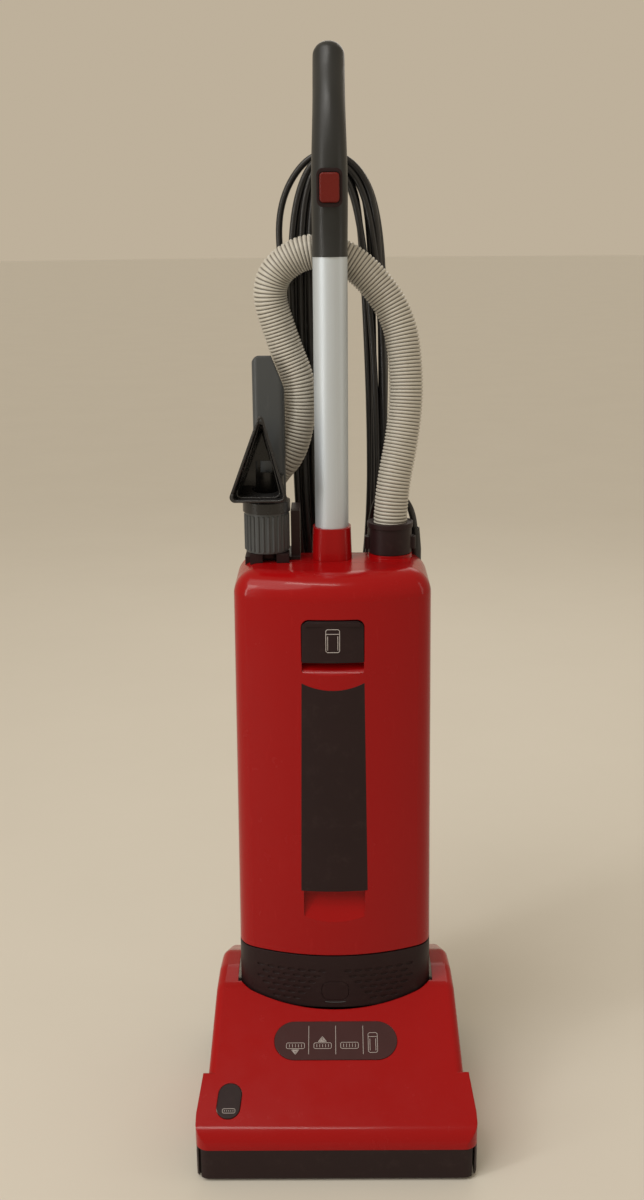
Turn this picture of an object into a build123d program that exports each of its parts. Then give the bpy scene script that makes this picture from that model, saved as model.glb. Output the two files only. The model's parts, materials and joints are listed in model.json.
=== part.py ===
from build123d import *
import math
import os

os.makedirs("parts", exist_ok=True)

# ---------------------------------------------------------------- driving dimensions (mm)
# Frame: front at -Y, +Z up, +X to the right of someone who faces the machine's front.
HEAD_HALF = 155.0          # half the floor head's width
FRONT_Y = -165.0           # front of the bumper
REAR_Y = 165.0             # tip of the upper cable hook
PIVOT_Y, PIVOT_Z = 90.0, 60.0      # recline pivot, motor shaft and wheel axle share this line
WHEEL_R = 60.0
DRUM_R = 52.0              # round lower end of the motor housing
SKIN = 2.8                 # wall of the red mouldings

# floor head
SEAM_Z = 40.0              # seam between the bumper and the head cover
NOSE_Z = 56.0              # where the deck starts to climb
DECK_TOP = (-2.0, 143.0)   # where the deck meets the top of the arms (y, z)
STEP_Y = -99.0             # rear end of the wide front section
ARM_REAR_Y = 124.0
ARM_WALL_X = 116.0         # inner face of the arms
SIDE_LOW_Z = 14.0          # lower edge of the head cover behind the bumper
BRUSH_Y, BRUSH_Z = -126.0, 31.0
BRUSH_TIP_R = 28.0
TUNNEL_R = 31.0
DECK_SLOPE = math.atan2(DECK_TOP[1] - NOSE_Z, DECK_TOP[0] - FRONT_Y)

# vacuum body
BODY_HALF = 113.3
BODY_FRONT = -28.0
BODY_SAG = 30.0            # how far the front face bulges
BODY_REAR = 118.0
BAND_Z = 129.0             # lower edge of the exhaust filter cover
DOOR_Z = 197.5             # lower edge of the bag door
BODY_TOP = 650.0
TOP_ROUND = 28.0
BODY_TAPER = 0.5           # degrees of draft
SPLIT_Y = 42.0             # seam between door and rear housing
HOUSING_HALF = 104.0       # half width of the motor housing

# handle
TUBE_Y = 70.0
TUBE_R = 18.75
TUBE_TOP = 980.0
SWITCH_Z = 1050.0
HOOK_Z = 1062.0

# hose, wand and tools
CUFF_X, CUFF_Y = 66.0, 78.0
HOSE_R = 19.0
WAND_X, WAND_Y = -80.0, 129.0
WAND_R = 17.5
TOOL_X, TOOL_Y = -73.0, 62.0
CREVICE_X, CREVICE_Y = -70.0, 97.0

# cord
CORD_R = 3.75
HANK_FRONT, HANK_REAR = 138.5, 157.5
RUN_FIT = 0.05             # radial running clearance


def level(z):
    """Horizontal sketch plane: local axes X, Y; extrudes upwards."""
    return Plane.XY.offset(z)


def side_plane(x):
    """Sketch plane across the machine: local axes Y, Z; extrudes towards +X."""
    return Plane.YZ.offset(x)


def front_plane(y):
    """Upright sketch plane: local axes X, Z; extrudes towards the front (-Y)."""
    return Plane.XZ.offset(-y)


def deck_plane(y, lift=0.0):
    """Plane lying on the sloping deck at depth y; its local Y runs up the slope."""
    z = NOSE_Z + (y - FRONT_Y) * math.tan(DECK_SLOPE)
    normal = Vector(0, -math.sin(DECK_SLOPE), math.cos(DECK_SLOPE))
    return Plane(origin=Vector(0, y, z) + normal * lift, x_dir=(1, 0, 0), z_dir=normal)


def slab(x0, x1, y0, y1, z0, z1, mode=Mode.ADD):
    """Box between two corners, added to or cut from the part in hand."""
    with BuildSketch(level(z0)) as outline:
        with Locations(((x0 + x1) / 2, (y0 + y1) / 2)):
            Rectangle(x1 - x0, y1 - y0)
    extrude(outline.sketch, amount=z1 - z0, mode=mode)


def rod_x(radius, x0, x1, y=PIVOT_Y, z=PIVOT_Z, mode=Mode.ADD):
    """Round bar along X, by default on the pivot line."""
    with BuildSketch(side_plane(x0)) as outline:
        with Locations((y, z)):
            Circle(radius)
    extrude(outline.sketch, amount=x1 - x0, mode=mode)


def rod_y(radius, y0, y1, x, z, mode=Mode.ADD):
    """Round bar along Y."""
    with BuildSketch(front_plane(y1)) as outline:
        with Locations((x, z)):
            Circle(radius)
    extrude(outline.sketch, amount=y1 - y0, mode=mode)


def rod_z(radius, z0, z1, x, y, mode=Mode.ADD):
    """Round bar along Z."""
    with BuildSketch(level(z0)) as outline:
        with Locations((x, y)):
            Circle(radius)
    extrude(outline.sketch, amount=z1 - z0, mode=mode)


def save(builder, name):
    """Label a finished sub-part and write its STEP file."""
    builder.part.label = name
    export_step(builder.part, f"parts/{name}.step")


# ---------------------------------------------------------------- shared outlines

def body_outline(grow=0.0):
    """Plan outline of the vacuum body at the height of the filter band."""
    corner_y = BODY_FRONT + BODY_SAG
    with BuildSketch(level(BAND_Z), mode=Mode.PRIVATE) as plan:
        with BuildLine():
            ThreePointArc((-BODY_HALF, corner_y), (0, BODY_FRONT), (BODY_HALF, corner_y))
            Polyline((BODY_HALF, corner_y), (BODY_HALF, BODY_REAR), (-BODY_HALF, BODY_REAR),
                     (-BODY_HALF, corner_y))
        make_face()
        fillet(plan.vertices().group_by(Axis.Y)[0], 30)
        fillet(plan.vertices().group_by(Axis.Y)[-1], 26)
        if grow:
            offset(amount=grow)
    return plan.sketch


def body_envelope(inset):
    """The vacuum body's outer form, `inset` inside its skin."""
    with BuildPart(mode=Mode.PRIVATE) as form:
        add(body_outline(-inset))
        extrude(amount=BODY_TOP - BAND_Z - inset, taper=BODY_TAPER)
        fillet(form.edges().group_by(Axis.Z)[-1], TOP_ROUND - inset)
    return form.part


def is_shoulder(edge):
    """True for the long upper side edges of the floor head, behind its wide front."""
    middle, size = edge @ 0.5, edge.bounding_box().size
    return (abs(middle.X) > 128 and middle.Z > 90 and middle.Y > STEP_Y
            and size.Y > 1 and size.X < 12)


def head_block(inset, low_z):
    """The floor head's outer form: a side profile trimmed to its plan outline."""
    drop = inset / math.cos(DECK_SLOPE)
    nose_z = NOSE_Z - drop + inset * math.tan(DECK_SLOPE)
    front, rear = FRONT_Y + inset, ARM_REAR_Y - inset
    deck_y, deck_z = DECK_TOP
    with BuildPart(mode=Mode.PRIVATE) as form:
        with BuildSketch(side_plane(-HEAD_HALF - 5)) as profile:
            with BuildLine():
                Polyline((front, low_z), (front, nose_z), (deck_y, deck_z - drop),
                         (32, 149 - inset), (70, 147 - inset), (rear, 122 - inset),
                         (rear, low_z), (front, low_z))
            make_face()
            nose = [v for v in profile.vertices() if abs(v.Y - nose_z) < 0.01]
            fillet(nose, 22 - inset)
            crown = [v for v in profile.vertices() if v.Y > 130]
            fillet(crown, 30)
        extrude(amount=2 * HEAD_HALF + 10)
        with BuildSketch(level(low_z)) as plan:
            with BuildLine() as side:
                Polyline((0, FRONT_Y), (HEAD_HALF, FRONT_Y), (HEAD_HALF, -140), (150, STEP_Y), (145, STEP_Y),
                         (139.5, 60), (136, ARM_REAR_Y + 1), (0, ARM_REAR_Y + 1))
                mirror(about=Plane.YZ)
            make_face()
            fillet(plan.vertices().group_by(Axis.Y)[0], 15)
            if inset:
                offset(amount=-inset, kind=Kind.INTERSECTION)
        extrude(amount=170, mode=Mode.INTERSECT)
        fillet(form.edges().filter_by(is_shoulder), 10 - inset)
    return form.part


def drum_and_box(shrink, half):
    """Motor housing form: the round drum with the box that rises from it."""
    with BuildPart(mode=Mode.PRIVATE) as outside:
        slab(-120, 120, -40, 31, BAND_Z, DOOR_Z)
        add(body_envelope(3.2 + shrink), mode=Mode.SUBTRACT)
    with BuildPart(mode=Mode.PRIVATE) as form:
        with BuildSketch(side_plane(-half)):
            with BuildLine():
                Polyline((-6 + shrink, DOOR_Z - 2 - shrink), (116 - shrink, DOOR_Z - 2 - shrink),
                         (116 - shrink, PIVOT_Z), (38.5 + shrink, PIVOT_Z),
                         (38.5 + shrink, 112 + shrink), (-6 + shrink, 131 + shrink),
                         (-6 + shrink, DOOR_Z - 2 - shrink))
            make_face()
            with Locations((PIVOT_Y, PIVOT_Z)):
                Circle(DRUM_R - shrink)
        extrude(amount=2 * half)
        add(outside.part, mode=Mode.SUBTRACT)
    return form.part


OUTER = body_envelope(0)
INNER = body_envelope(SKIN)

# ---------------------------------------------------------------- floor head

LENS_Y = -65.0
LENS_W, LENS_H = 141.0, 47.0
BUTTON_X, BUTTON_Y = -119.0, -128.0
BUTTON_W, BUTTON_H, BUTTON_TILT = 26.0, 41.0, -5.0
BUTTON_DEPTH = 2.6         # how far the button reaches below the deck; it travels 3 mm
BAND_GAP = 2.5             # between the body's front and the head cover
AXLE_R = 5.0
HUB_R = 30.0
PEDAL_PIN_Y, PEDAL_PIN_Z = 119.0, 32.0


def button_outline(grow):
    """Oval outline of the release button on the deck's local plane."""
    with BuildSketch(deck_plane(BUTTON_Y), mode=Mode.PRIVATE) as oval:
        with Locations((BUTTON_X, 0)):
            SlotOverall(BUTTON_H + 2 * grow, BUTTON_W + 2 * grow, rotation=90 + BUTTON_TILT)
    return oval.sketch


with BuildPart() as cavity:
    add(head_block(SKIN, SIDE_LOW_Z - 1))
    slab(-ARM_WALL_X - SKIN, ARM_WALL_X + SKIN, 2, 140, 0, 200, mode=Mode.SUBTRACT)
    add(extrude(body_outline(BAND_GAP + SKIN), amount=-24), mode=Mode.SUBTRACT)

with BuildPart() as head_cover:
    add(head_block(0, SIDE_LOW_Z))
    add(cavity.part, mode=Mode.SUBTRACT)
    # slot in which the vacuum body swings
    extrude(body_outline(BAND_GAP), amount=140, both=True, mode=Mode.SUBTRACT)
    slab(-ARM_WALL_X, ARM_WALL_X, 5, 140, 0, 160, mode=Mode.SUBTRACT)
    # room for the bumper, and the wheel arches
    slab(-160, 160, -170, STEP_Y, 0, SEAM_Z, mode=Mode.SUBTRACT)
    for side in (-1, 1):
        x0 = min(side * 118.5, side * 165)
        rod_x(WHEEL_R + 5, x0, x0 + 46.5, mode=Mode.SUBTRACT)
    # lens seat, button hole, brush opening in the left end
    with BuildSketch(deck_plane(LENS_Y, -1.8)):
        SlotOverall(LENS_W + 0.6, LENS_H + 0.6)
    extrude(amount=6, mode=Mode.SUBTRACT)
    with BuildSketch(deck_plane(LENS_Y, -8)):
        SlotOverall(LENS_W - 12, LENS_H - 12)
    extrude(amount=10, mode=Mode.SUBTRACT)
    extrude(button_outline(0.4), amount=12, both=True, mode=Mode.SUBTRACT)
    rod_x(BRUSH_TIP_R + 1.6, -160, -140, BRUSH_Y, BRUSH_Z, mode=Mode.SUBTRACT)
    # bores for the pivot hubs' spigots, the axles and the pedal pin
    for x0 in (-120, 110):
        rod_x(AXLE_R, x0, x0 + 10, mode=Mode.SUBTRACT)
    rod_x(3 + RUN_FIT, 110, 120, PEDAL_PIN_Y, PEDAL_PIN_Z, mode=Mode.SUBTRACT)
    # the belt's way through the front of the right arm
    slab(105, 114.5, -8, 12, 30, 96, mode=Mode.SUBTRACT)
save(head_cover, "head_cover")

with BuildPart() as front_bumper:
    with BuildSketch(level(2)) as plan:
        with BuildLine():
            Polyline((0, FRONT_Y), (HEAD_HALF, FRONT_Y), (HEAD_HALF, STEP_Y), (0, STEP_Y))
            mirror(about=Plane.YZ)
        make_face()
        fillet(plan.vertices().group_by(Axis.Y)[0], 15)
    extrude(amount=SEAM_Z - 2.3)
    fillet(front_bumper.edges().group_by(Axis.Z)[0].filter_by(lambda e: (e @ 0.5).Y < STEP_Y - 2), 3)
    slab(-HEAD_HALF + 3.4, HEAD_HALF - 3.4, FRONT_Y + 3, STEP_Y + 1, 0, 50, mode=Mode.SUBTRACT)
    rod_x(BRUSH_TIP_R + 1.6, -160, -140, BRUSH_Y, BRUSH_Z, mode=Mode.SUBTRACT)
    slab(-160, -140, BRUSH_Y - 29.6, BRUSH_Y + 29.6, 0, BRUSH_Z, mode=Mode.SUBTRACT)
save(front_bumper, "front_bumper")

ROLLER_X, ROLLER_Y, ROLLER_Z = 88.0, -74.0, 12.6
SOLE_SCREWS = [(-60, -75), (60, -75), (-60, 10), (60, 10)]

with BuildPart() as sole_plate:
    slab(-148, 148, -158.5, -60, 1.5, 4)
    slab(-150, 103, BRUSH_Y - 29, BRUSH_Y + 29, 0, 5, mode=Mode.SUBTRACT)
    slab(-80, 80, -60, 26, 1.5, 4)
    for x in (-ROLLER_X, ROLLER_X):
        slab(x - 14, x + 14, -88, -60, 0, 5, mode=Mode.SUBTRACT)
    for x, y in SOLE_SCREWS:
        rod_z(1.8, 0, 5, x, y, mode=Mode.SUBTRACT)
    # glides that the head rests on
    for x in (-60, 60):
        slab(x - 22, x + 22, -93, -84, 0, 1.5)
        slab(x - 22, x + 22, 15, 25, 0, 1.5)
save(sole_plate, "sole_plate")

with BuildPart() as sole_screws:
    for x, y in SOLE_SCREWS:
        rod_z(3.6, 0.6, 1.5, x, y)
        rod_z(1.8, 1.5, 8, x, y)
save(sole_screws, "sole_screws")

with BuildPart() as head_chassis:
    slab(-112, 104, BRUSH_Y + 30, 34, 4, 7)
    rod_x(TUNNEL_R + 3, -122, 104, BRUSH_Y, BRUSH_Z)
    rod_x(TUNNEL_R, -123, 100.5, BRUSH_Y, BRUSH_Z, mode=Mode.SUBTRACT)
    slab(-123, 100.5, -170, BRUSH_Y + 26, 0, BRUSH_Z - 12, mode=Mode.SUBTRACT)
    slab(-130, 110, -170, 40, -5, 4, mode=Mode.SUBTRACT)
    rod_x(9.05, 99, 105, BRUSH_Y, BRUSH_Z, mode=Mode.SUBTRACT)
    for x, y in SOLE_SCREWS:
        rod_z(4, 7, 12, x, y)
        rod_z(1.8, 0, 8, x, y, mode=Mode.SUBTRACT)
    for x in (-ROLLER_X, ROLLER_X):
        slab(x - 13, x + 13, -88, -60, 0, 8, mode=Mode.SUBTRACT)
    # air outlet at the back of the tunnel
    slab(-64, -28, BRUSH_Y + 20, BRUSH_Y + 40, 24, 46, mode=Mode.SUBTRACT)
save(head_chassis, "head_chassis")

with BuildPart() as suction_duct:
    slab(-68, -24, BRUSH_Y + 34.5, 46, 20, 50)
    slab(-65, -27, BRUSH_Y + 30, 47, 23, 47, mode=Mode.SUBTRACT)
    rod_x(DRUM_R + 1.2, -90, 0, mode=Mode.SUBTRACT)
save(suction_duct, "suction_duct")

with BuildPart() as height_gearmotor:
    slab(10, 46, -30, 4, 12.2, 34)
    rod_x(14, 46, 84, -13, 27)
    rod_x(4, 2, 10, -13, 20)
save(height_gearmotor, "height_gearmotor")

with BuildPart() as height_carriage:
    for side in (-1, 1):
        x = side * ROLLER_X
        slab(x - 12, x - 9.4, ROLLER_Y - 8, ROLLER_Y + 8, 8.4, 26)
        slab(x + 9.4, x + 12, ROLLER_Y - 8, ROLLER_Y + 8, 8.4, 26)
        slab(x - 12, x + 12, ROLLER_Y - 8, ROLLER_Y + 8, 26, 29)
    slab(-ROLLER_X, ROLLER_X, ROLLER_Y - 5, ROLLER_Y + 5, 26, 29)
    rod_x(2 + RUN_FIT, -110, 110, ROLLER_Y, ROLLER_Z, mode=Mode.SUBTRACT)
    # the bar steps over the suction duct
    slab(-70, -19, ROLLER_Y - 9, ROLLER_Y + 9, 18, 30, mode=Mode.SUBTRACT)
    slab(-73, -16, ROLLER_Y - 5, ROLLER_Y + 5, 58, 61)
    for x in (-73, -19):
        slab(x, x + 3, ROLLER_Y - 5, ROLLER_Y + 5, 26, 61)
save(height_carriage, "height_carriage")

with BuildPart() as front_rollers:
    for side in (-1, 1):
        x = side * ROLLER_X
        rod_x(12, x - 9, x + 9, ROLLER_Y, ROLLER_Z)
        rod_x(2, x - 13, x + 13, ROLLER_Y, ROLLER_Z)
save(front_rollers, "front_rollers")

with BuildPart() as indicator_lens:
    with BuildSketch(deck_plane(LENS_Y, -1.8)):
        SlotOverall(LENS_W, LENS_H)
    extrude(amount=2.5)
save(indicator_lens, "indicator_lens")

LAMP_SPACING = 33.0
with BuildPart() as indicator_board:
    with BuildSketch(deck_plane(LENS_Y, -11.6)):
        Rectangle(138, 40)
    extrude(amount=1.6)
    with BuildSketch(deck_plane(LENS_Y, -10)):
        with GridLocations(130, 32, 2, 2):
            Circle(2)
    extrude(amount=10 - SKIN - 0.1)
    # the four lamps under the lens
    with BuildSketch(deck_plane(LENS_Y, -10)):
        with GridLocations(LAMP_SPACING, 1, 4, 1):
            Circle(2.5)
    extrude(amount=5)
save(indicator_board, "indicator_board")

with BuildPart() as roller_release_button:
    extrude(button_outline(0), amount=-BUTTON_DEPTH)
    extrude(button_outline(0), amount=0.8)
    fillet(roller_release_button.faces().sort_by(Axis((0, 0, 0), deck_plane(0).z_dir))[-1].edges(), 0.7)
save(roller_release_button, "roller_release_button")

with BuildPart() as end_block:
    with BuildSketch(side_plane(-HEAD_HALF + 0.8)):
        with Locations((BRUSH_Y, BRUSH_Z)):
            Circle(BRUSH_TIP_R + 1)
        with Locations((BRUSH_Y, 17)):
            Rectangle(2 * BRUSH_TIP_R + 2, 28)
    extrude(amount=6)
    rod_x(20, -150, -126, BRUSH_Y, BRUSH_Z)
    rod_x(5.05, -136, -125, BRUSH_Y, BRUSH_Z, mode=Mode.SUBTRACT)
save(end_block, "end_block")

with BuildPart() as brush_core:
    rod_x(5, -134, -120, BRUSH_Y, BRUSH_Z)
    rod_x(16, -120, 97, BRUSH_Y, BRUSH_Z)
    rod_x(23, -122, -119, BRUSH_Y, BRUSH_Z)
    rod_x(23, 94, 97, BRUSH_Y, BRUSH_Z)
    slab(97, 103, BRUSH_Y - 4.7, BRUSH_Y + 4.7, BRUSH_Z - 4.7, BRUSH_Z + 4.7)
save(brush_core, "brush_core")

with BuildPart() as brush_bristles:
    with BuildSketch(side_plane(-112)):
        with Locations((BRUSH_Y, BRUSH_Z)):
            with PolarLocations(21.9, 4):
                Rectangle(12, 6)
    extrude(amount=200)
    rod_x(16, -120, 97, BRUSH_Y, BRUSH_Z, mode=Mode.SUBTRACT)
save(brush_bristles, "brush_bristles")

BELT_X0, BELT_X1 = 106.2, 112.4
PULLEY_R, BRUSH_PULLEY_R = 9.0, 13.5


def toothed_wheel(radius, y, z, teeth):
    """Toothed belt pulley on its own axis, in the part in hand."""
    rod_x(radius, BELT_X0, BELT_X1, y, z)
    with BuildSketch(side_plane(BELT_X0)) as gaps:
        with Locations((y, z)):
            with PolarLocations(radius, teeth):
                Circle(0.7)
    extrude(gaps.sketch, amount=BELT_X1 - BELT_X0, mode=Mode.SUBTRACT)


with BuildPart() as drive_pulley:
    toothed_wheel(BRUSH_PULLEY_R, BRUSH_Y, BRUSH_Z, 24)
    rod_x(9, 98.5, BELT_X0, BRUSH_Y, BRUSH_Z)
    slab(98, 103.5, BRUSH_Y - 5, BRUSH_Y + 5, BRUSH_Z - 5, BRUSH_Z + 5, mode=Mode.SUBTRACT)
save(drive_pulley, "drive_pulley")

with BuildPart() as motor_pulley:
    toothed_wheel(PULLEY_R, PIVOT_Y, PIVOT_Z, 16)
    rod_x(4, BELT_X0 - 1, BELT_X1 + 1, mode=Mode.SUBTRACT)
save(motor_pulley, "motor_pulley")


def belt_outline(grow):
    """Closed path round both pulleys."""
    with BuildSketch(side_plane(BELT_X0), mode=Mode.PRIVATE) as loop:
        with Locations((PIVOT_Y, PIVOT_Z)):
            Circle(PULLEY_R + grow)
        with Locations((BRUSH_Y, BRUSH_Z)):
            Circle(BRUSH_PULLEY_R + grow)
        make_hull()
    return loop.sketch


with BuildPart() as drive_belt:
    extrude(belt_outline(2.4), amount=BELT_X1 - BELT_X0)
    extrude(belt_outline(0.4), amount=BELT_X1 - BELT_X0, mode=Mode.SUBTRACT)
save(drive_belt, "drive_belt")

with BuildPart() as axle_hubs:
    # hollow spigots on which the body swings, each with a wheel axle on its outer side
    for side in (-1, 1):
        inner = min(side * 97.5, side * ARM_WALL_X)
        flange = min(side * (ARM_WALL_X - 2.3), side * ARM_WALL_X)
        axle = min(side * ARM_WALL_X, side * 139.2)
        cap = min(side * 138.2, side * 139.2)
        rod_x(HUB_R, inner, inner + ARM_WALL_X - 97.5)
        rod_x(34, flange, flange + 2.3)
        rod_x(AXLE_R, axle, axle + 23.7)
        rod_x(8, cap, cap + 1)
    rod_x(24, -ARM_WALL_X + 2.3, -97, mode=Mode.SUBTRACT)
    rod_x(24, 97, ARM_WALL_X - 2.3, mode=Mode.SUBTRACT)
    # window through which the belt leaves on the right, and the motor shaft's running hole
    slab(104.8, 113, 55, 90, PIVOT_Z - 17, PIVOT_Z + 14, mode=Mode.SUBTRACT)
    rod_x(4 + RUN_FIT, 111, ARM_WALL_X, mode=Mode.SUBTRACT)
save(axle_hubs, "axle_hubs")

for side, label in ((-1, "left"), (1, "right")):
    x0 = min(side * 119.3, side * 138)
    face = min(side * 130, side * 141)
    with BuildPart() as wheel:
        rod_x(WHEEL_R - 6, x0, x0 + 18.7)
        rod_x(WHEEL_R - 12, face, face + 11, mode=Mode.SUBTRACT)
        rod_x(14, x0, x0 + 18.7)
        rod_x(AXLE_R + RUN_FIT, x0 - 5, x0 + 30, mode=Mode.SUBTRACT)
        with BuildSketch(side_plane(min(side * 130, side * 136))):
            with Locations((PIVOT_Y, PIVOT_Z)):
                with PolarLocations(31, 6):
                    Rectangle(36, 3)
        extrude(amount=6)
    save(wheel, f"wheel_{label}")

    with BuildPart() as tyre:
        tread = min(side * 119.3, side * 141)
        rod_x(WHEEL_R, tread, tread + 21.7)
        fillet(tyre.edges(), 4)
        rod_x(WHEEL_R - 6, x0 - 5, x0 + 30, mode=Mode.SUBTRACT)
    save(tyre, f"tyre_{label}")

with BuildPart() as foot_pedal:
    slab(106, 112.5, 111, 164, 28, 36)
    slab(64, 112.5, 146, 164, 28, 36)
    fillet(foot_pedal.edges().filter_by(Axis.Z), 3)
    rod_x(3, 112.5, 118, PEDAL_PIN_Y, PEDAL_PIN_Z)
save(foot_pedal, "foot_pedal")

# ---------------------------------------------------------------- vacuum body, lower end

MOTOR_INLET_R = 24.0
MOTOR_INLET_Y = 80.0

with BuildPart() as rear_skirt:
    add(OUTER)
    slab(-120, 120, 31, 120, BAND_Z, DOOR_Z - 2, mode=Mode.INTERSECT)

with BuildPart() as motor_housing:
    add(drum_and_box(0, HOUSING_HALF))
    add(rear_skirt.part)
    add(drum_and_box(3.5, HOUSING_HALF - 4), mode=Mode.SUBTRACT)
    for side in (-1, 1):
        x0 = min(side * 96, side * 110)
        rod_x(HUB_R + RUN_FIT, x0, x0 + 14, mode=Mode.SUBTRACT)
    # exhaust window to the filter, motor inlet from the bag chamber, duct inlet at the back
    slab(-70, 70, -10, 0, 142, 184, mode=Mode.SUBTRACT)
    rod_z(MOTOR_INLET_R, 180, 200, 0, MOTOR_INLET_Y, mode=Mode.SUBTRACT)
    slab(WAND_X - 14, WAND_X + 14, 100, 120, 114, 132, mode=Mode.SUBTRACT)
save(motor_housing, "motor_housing")

with BuildPart() as motor_casing:
    rod_x(43, -54, 44)
    for x in (-48, 32):
        rod_x(DRUM_R - 3.5, x, x + 6)
    rod_x(41, -52, 42, mode=Mode.SUBTRACT)
    rod_x(8, -60, -54)
    rod_x(8, 44, 50)
    rod_x(4 + RUN_FIT, -61, 51, mode=Mode.SUBTRACT)
    with BuildSketch(side_plane(-56)):
        with Locations((PIVOT_Y, PIVOT_Z)):
            with PolarLocations(26, 8):
                Circle(6)
    extrude(amount=110, mode=Mode.SUBTRACT)
    # field winding, its own ring inside the casing
    rod_x(40.6, -30, 24)
    rod_x(25, -31, 25, mode=Mode.SUBTRACT)
save(motor_casing, "motor_casing")

with BuildPart() as motor_rotor:
    rod_x(4, -80, ARM_WALL_X - 0.2)
    rod_x(24, -28, 20)
    rod_x(13, 22, 38)
    with BuildSketch(side_plane(-29)):
        with Locations((PIVOT_Y, PIVOT_Z)):
            with PolarLocations(24, 12):
                Circle(1.2)
    extrude(amount=50, mode=Mode.SUBTRACT)
save(motor_rotor, "motor_rotor")

with BuildPart() as motor_fan:
    rod_x(36, -66, -64)
    rod_x(9, -76, -64)
    with BuildSketch(side_plane(-74)):
        with Locations((PIVOT_Y, PIVOT_Z)):
            with PolarLocations(22, 9):
                Rectangle(27, 1.6)
    extrude(amount=8)
    rod_x(4, -81, -60, mode=Mode.SUBTRACT)
save(motor_fan, "motor_fan")

with BuildPart() as exhaust_filter:
    add(body_envelope(8.5))
    slab(-88, 88, -30, -6.2, 137, 187, mode=Mode.INTERSECT)
    for x in range(-80, 81, 8):
        slab(x, x + 2, -30, -15, 136, 190, mode=Mode.SUBTRACT)
save(exhaust_filter, "exhaust_filter")

FILTER_BUTTON_Z = 150.5
BAND_BUTTON_W, BAND_BUTTON_H = 31.0, 23.5
FILTER_BUTTON_REAR = -22.9  # leaves 3 mm of travel in front of the filter
FIELD_ROWS = 6
ROW_PITCH, DIMPLE_PITCH = 7.4, 12.0
FIELD_INNER, FIELD_OUTER = 45.0, 80.0   # reach of the lowest row, from the centre plane

with BuildPart() as dimple_floor:
    # inner part of the cover's wall, which closes the dimples 1 mm below the surface
    add(body_envelope(1.0))
    add(INNER, mode=Mode.SUBTRACT)
    slab(-105, 105, -40, 20, 133, 190, mode=Mode.INTERSECT)

with BuildPart() as exhaust_filter_cover:
    add(OUTER)
    add(INNER, mode=Mode.SUBTRACT)
    slab(-120, 120, -40, 30.5, BAND_Z, DOOR_Z - 1.8, mode=Mode.INTERSECT)
    # two fields of shallow oval dimples, their rows stepped like scales
    for side in (-1, 1):
        for row in range(FIELD_ROWS):
            z = 139.5 + row * ROW_PITCH
            first = FIELD_INNER - row * DIMPLE_PITCH / 2
            last = FIELD_OUTER + 2.4 * row
            spots = [(side * (first + i * DIMPLE_PITCH), z) for i in range(8)
                     if first + i * DIMPLE_PITCH <= last]
            with BuildSketch(front_plane(0)):
                with Locations(*spots):
                    Ellipse(4.3, 1.9)
            extrude(amount=40, mode=Mode.SUBTRACT)
    add(dimple_floor.part)
    with BuildSketch(front_plane(0)):
        with Locations((0, FILTER_BUTTON_Z)):
            RectangleRounded(BAND_BUTTON_W + 0.8, BAND_BUTTON_H + 0.8, 9.4)
    extrude(amount=40, mode=Mode.SUBTRACT)
save(exhaust_filter_cover, "exhaust_filter_cover")

with BuildPart() as filter_cover_button:
    with BuildSketch(front_plane(0)):
        with Locations((0, FILTER_BUTTON_Z)):
            RectangleRounded(BAND_BUTTON_W, BAND_BUTTON_H, 9)
    extrude(amount=40)
    add(OUTER, mode=Mode.INTERSECT)
    slab(-30, 30, FILTER_BUTTON_REAR, 10, 120, 180, mode=Mode.SUBTRACT)
save(filter_cover_button, "filter_cover_button")

# ---------------------------------------------------------------- vacuum body, upper end

PORT_R = 17.0
COLLAR_TOP = 686.0

with BuildPart() as groove_wall:
    rod_z(24.8, 236, BODY_TOP - 3, WAND_X, WAND_Y)
    add(OUTER, mode=Mode.INTERSECT)

with BuildPart() as chamber_floor:
    add(body_envelope(4))
    slab(-120, 120, 0, 115, DOOR_Z - 1.2, DOOR_Z + 1.8, mode=Mode.INTERSECT)
    slab(-100, 100, 50, 116, DOOR_Z - 2, DOOR_Z + 1.8)

with BuildPart() as seal_flange:
    add(body_envelope(1.0))
    slab(-97, 97, SPLIT_Y - 20, SPLIT_Y + 20, 100, 625, mode=Mode.SUBTRACT)
    slab(-111, 111, SPLIT_Y + 0.4, SPLIT_Y + 3, DOOR_Z, BODY_TOP, mode=Mode.INTERSECT)

with BuildPart() as rear_housing:
    add(OUTER)
    add(INNER, mode=Mode.SUBTRACT)
    slab(-120, 120, SPLIT_Y + 0.4, 120, DOOR_Z - 2, BODY_TOP, mode=Mode.INTERSECT)
    # floor of the bag chamber and the flange that carries the door seal
    add(chamber_floor.part)
    rod_z(MOTOR_INLET_R - 2, 190, 202, 0, MOTOR_INLET_Y, mode=Mode.SUBTRACT)
    add(seal_flange.part)
    add(groove_wall.part)
    rod_z(22, 232, BODY_TOP + 5, WAND_X, WAND_Y, mode=Mode.SUBTRACT)
    # socket for the handle tube and the hose port
    rod_z(22.5, 560, BODY_TOP - 2, 0, TUBE_Y)
    rod_z(PORT_R, 612, 668, CUFF_X, CUFF_Y)
    rod_z(25, BODY_TOP - 2, 653.5, CUFF_X, CUFF_Y)
    rod_z(PORT_R - 2, 600, 680, CUFF_X, CUFF_Y, mode=Mode.SUBTRACT)
    rod_z(TUBE_R, 564, 660, 0, TUBE_Y, mode=Mode.SUBTRACT)
    rod_z(7, 630, 660, 96, 98, mode=Mode.SUBTRACT)
save(rear_housing, "rear_housing")

with BuildPart() as door_seal:
    with BuildSketch(front_plane(SPLIT_Y + 0.4)):
        with Locations((0, 417)):
            RectangleRounded(206, 427, 14)
            RectangleRounded(198, 419, 10, mode=Mode.SUBTRACT)
    extrude(amount=3.4)
save(door_seal, "door_seal")

LATCH_HALF, LATCH_LOW, LATCH_TOP = 34.0, 553.6, 601.0
STRIP_TOP, STRIP_LOW = 530.0, 279.0


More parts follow.
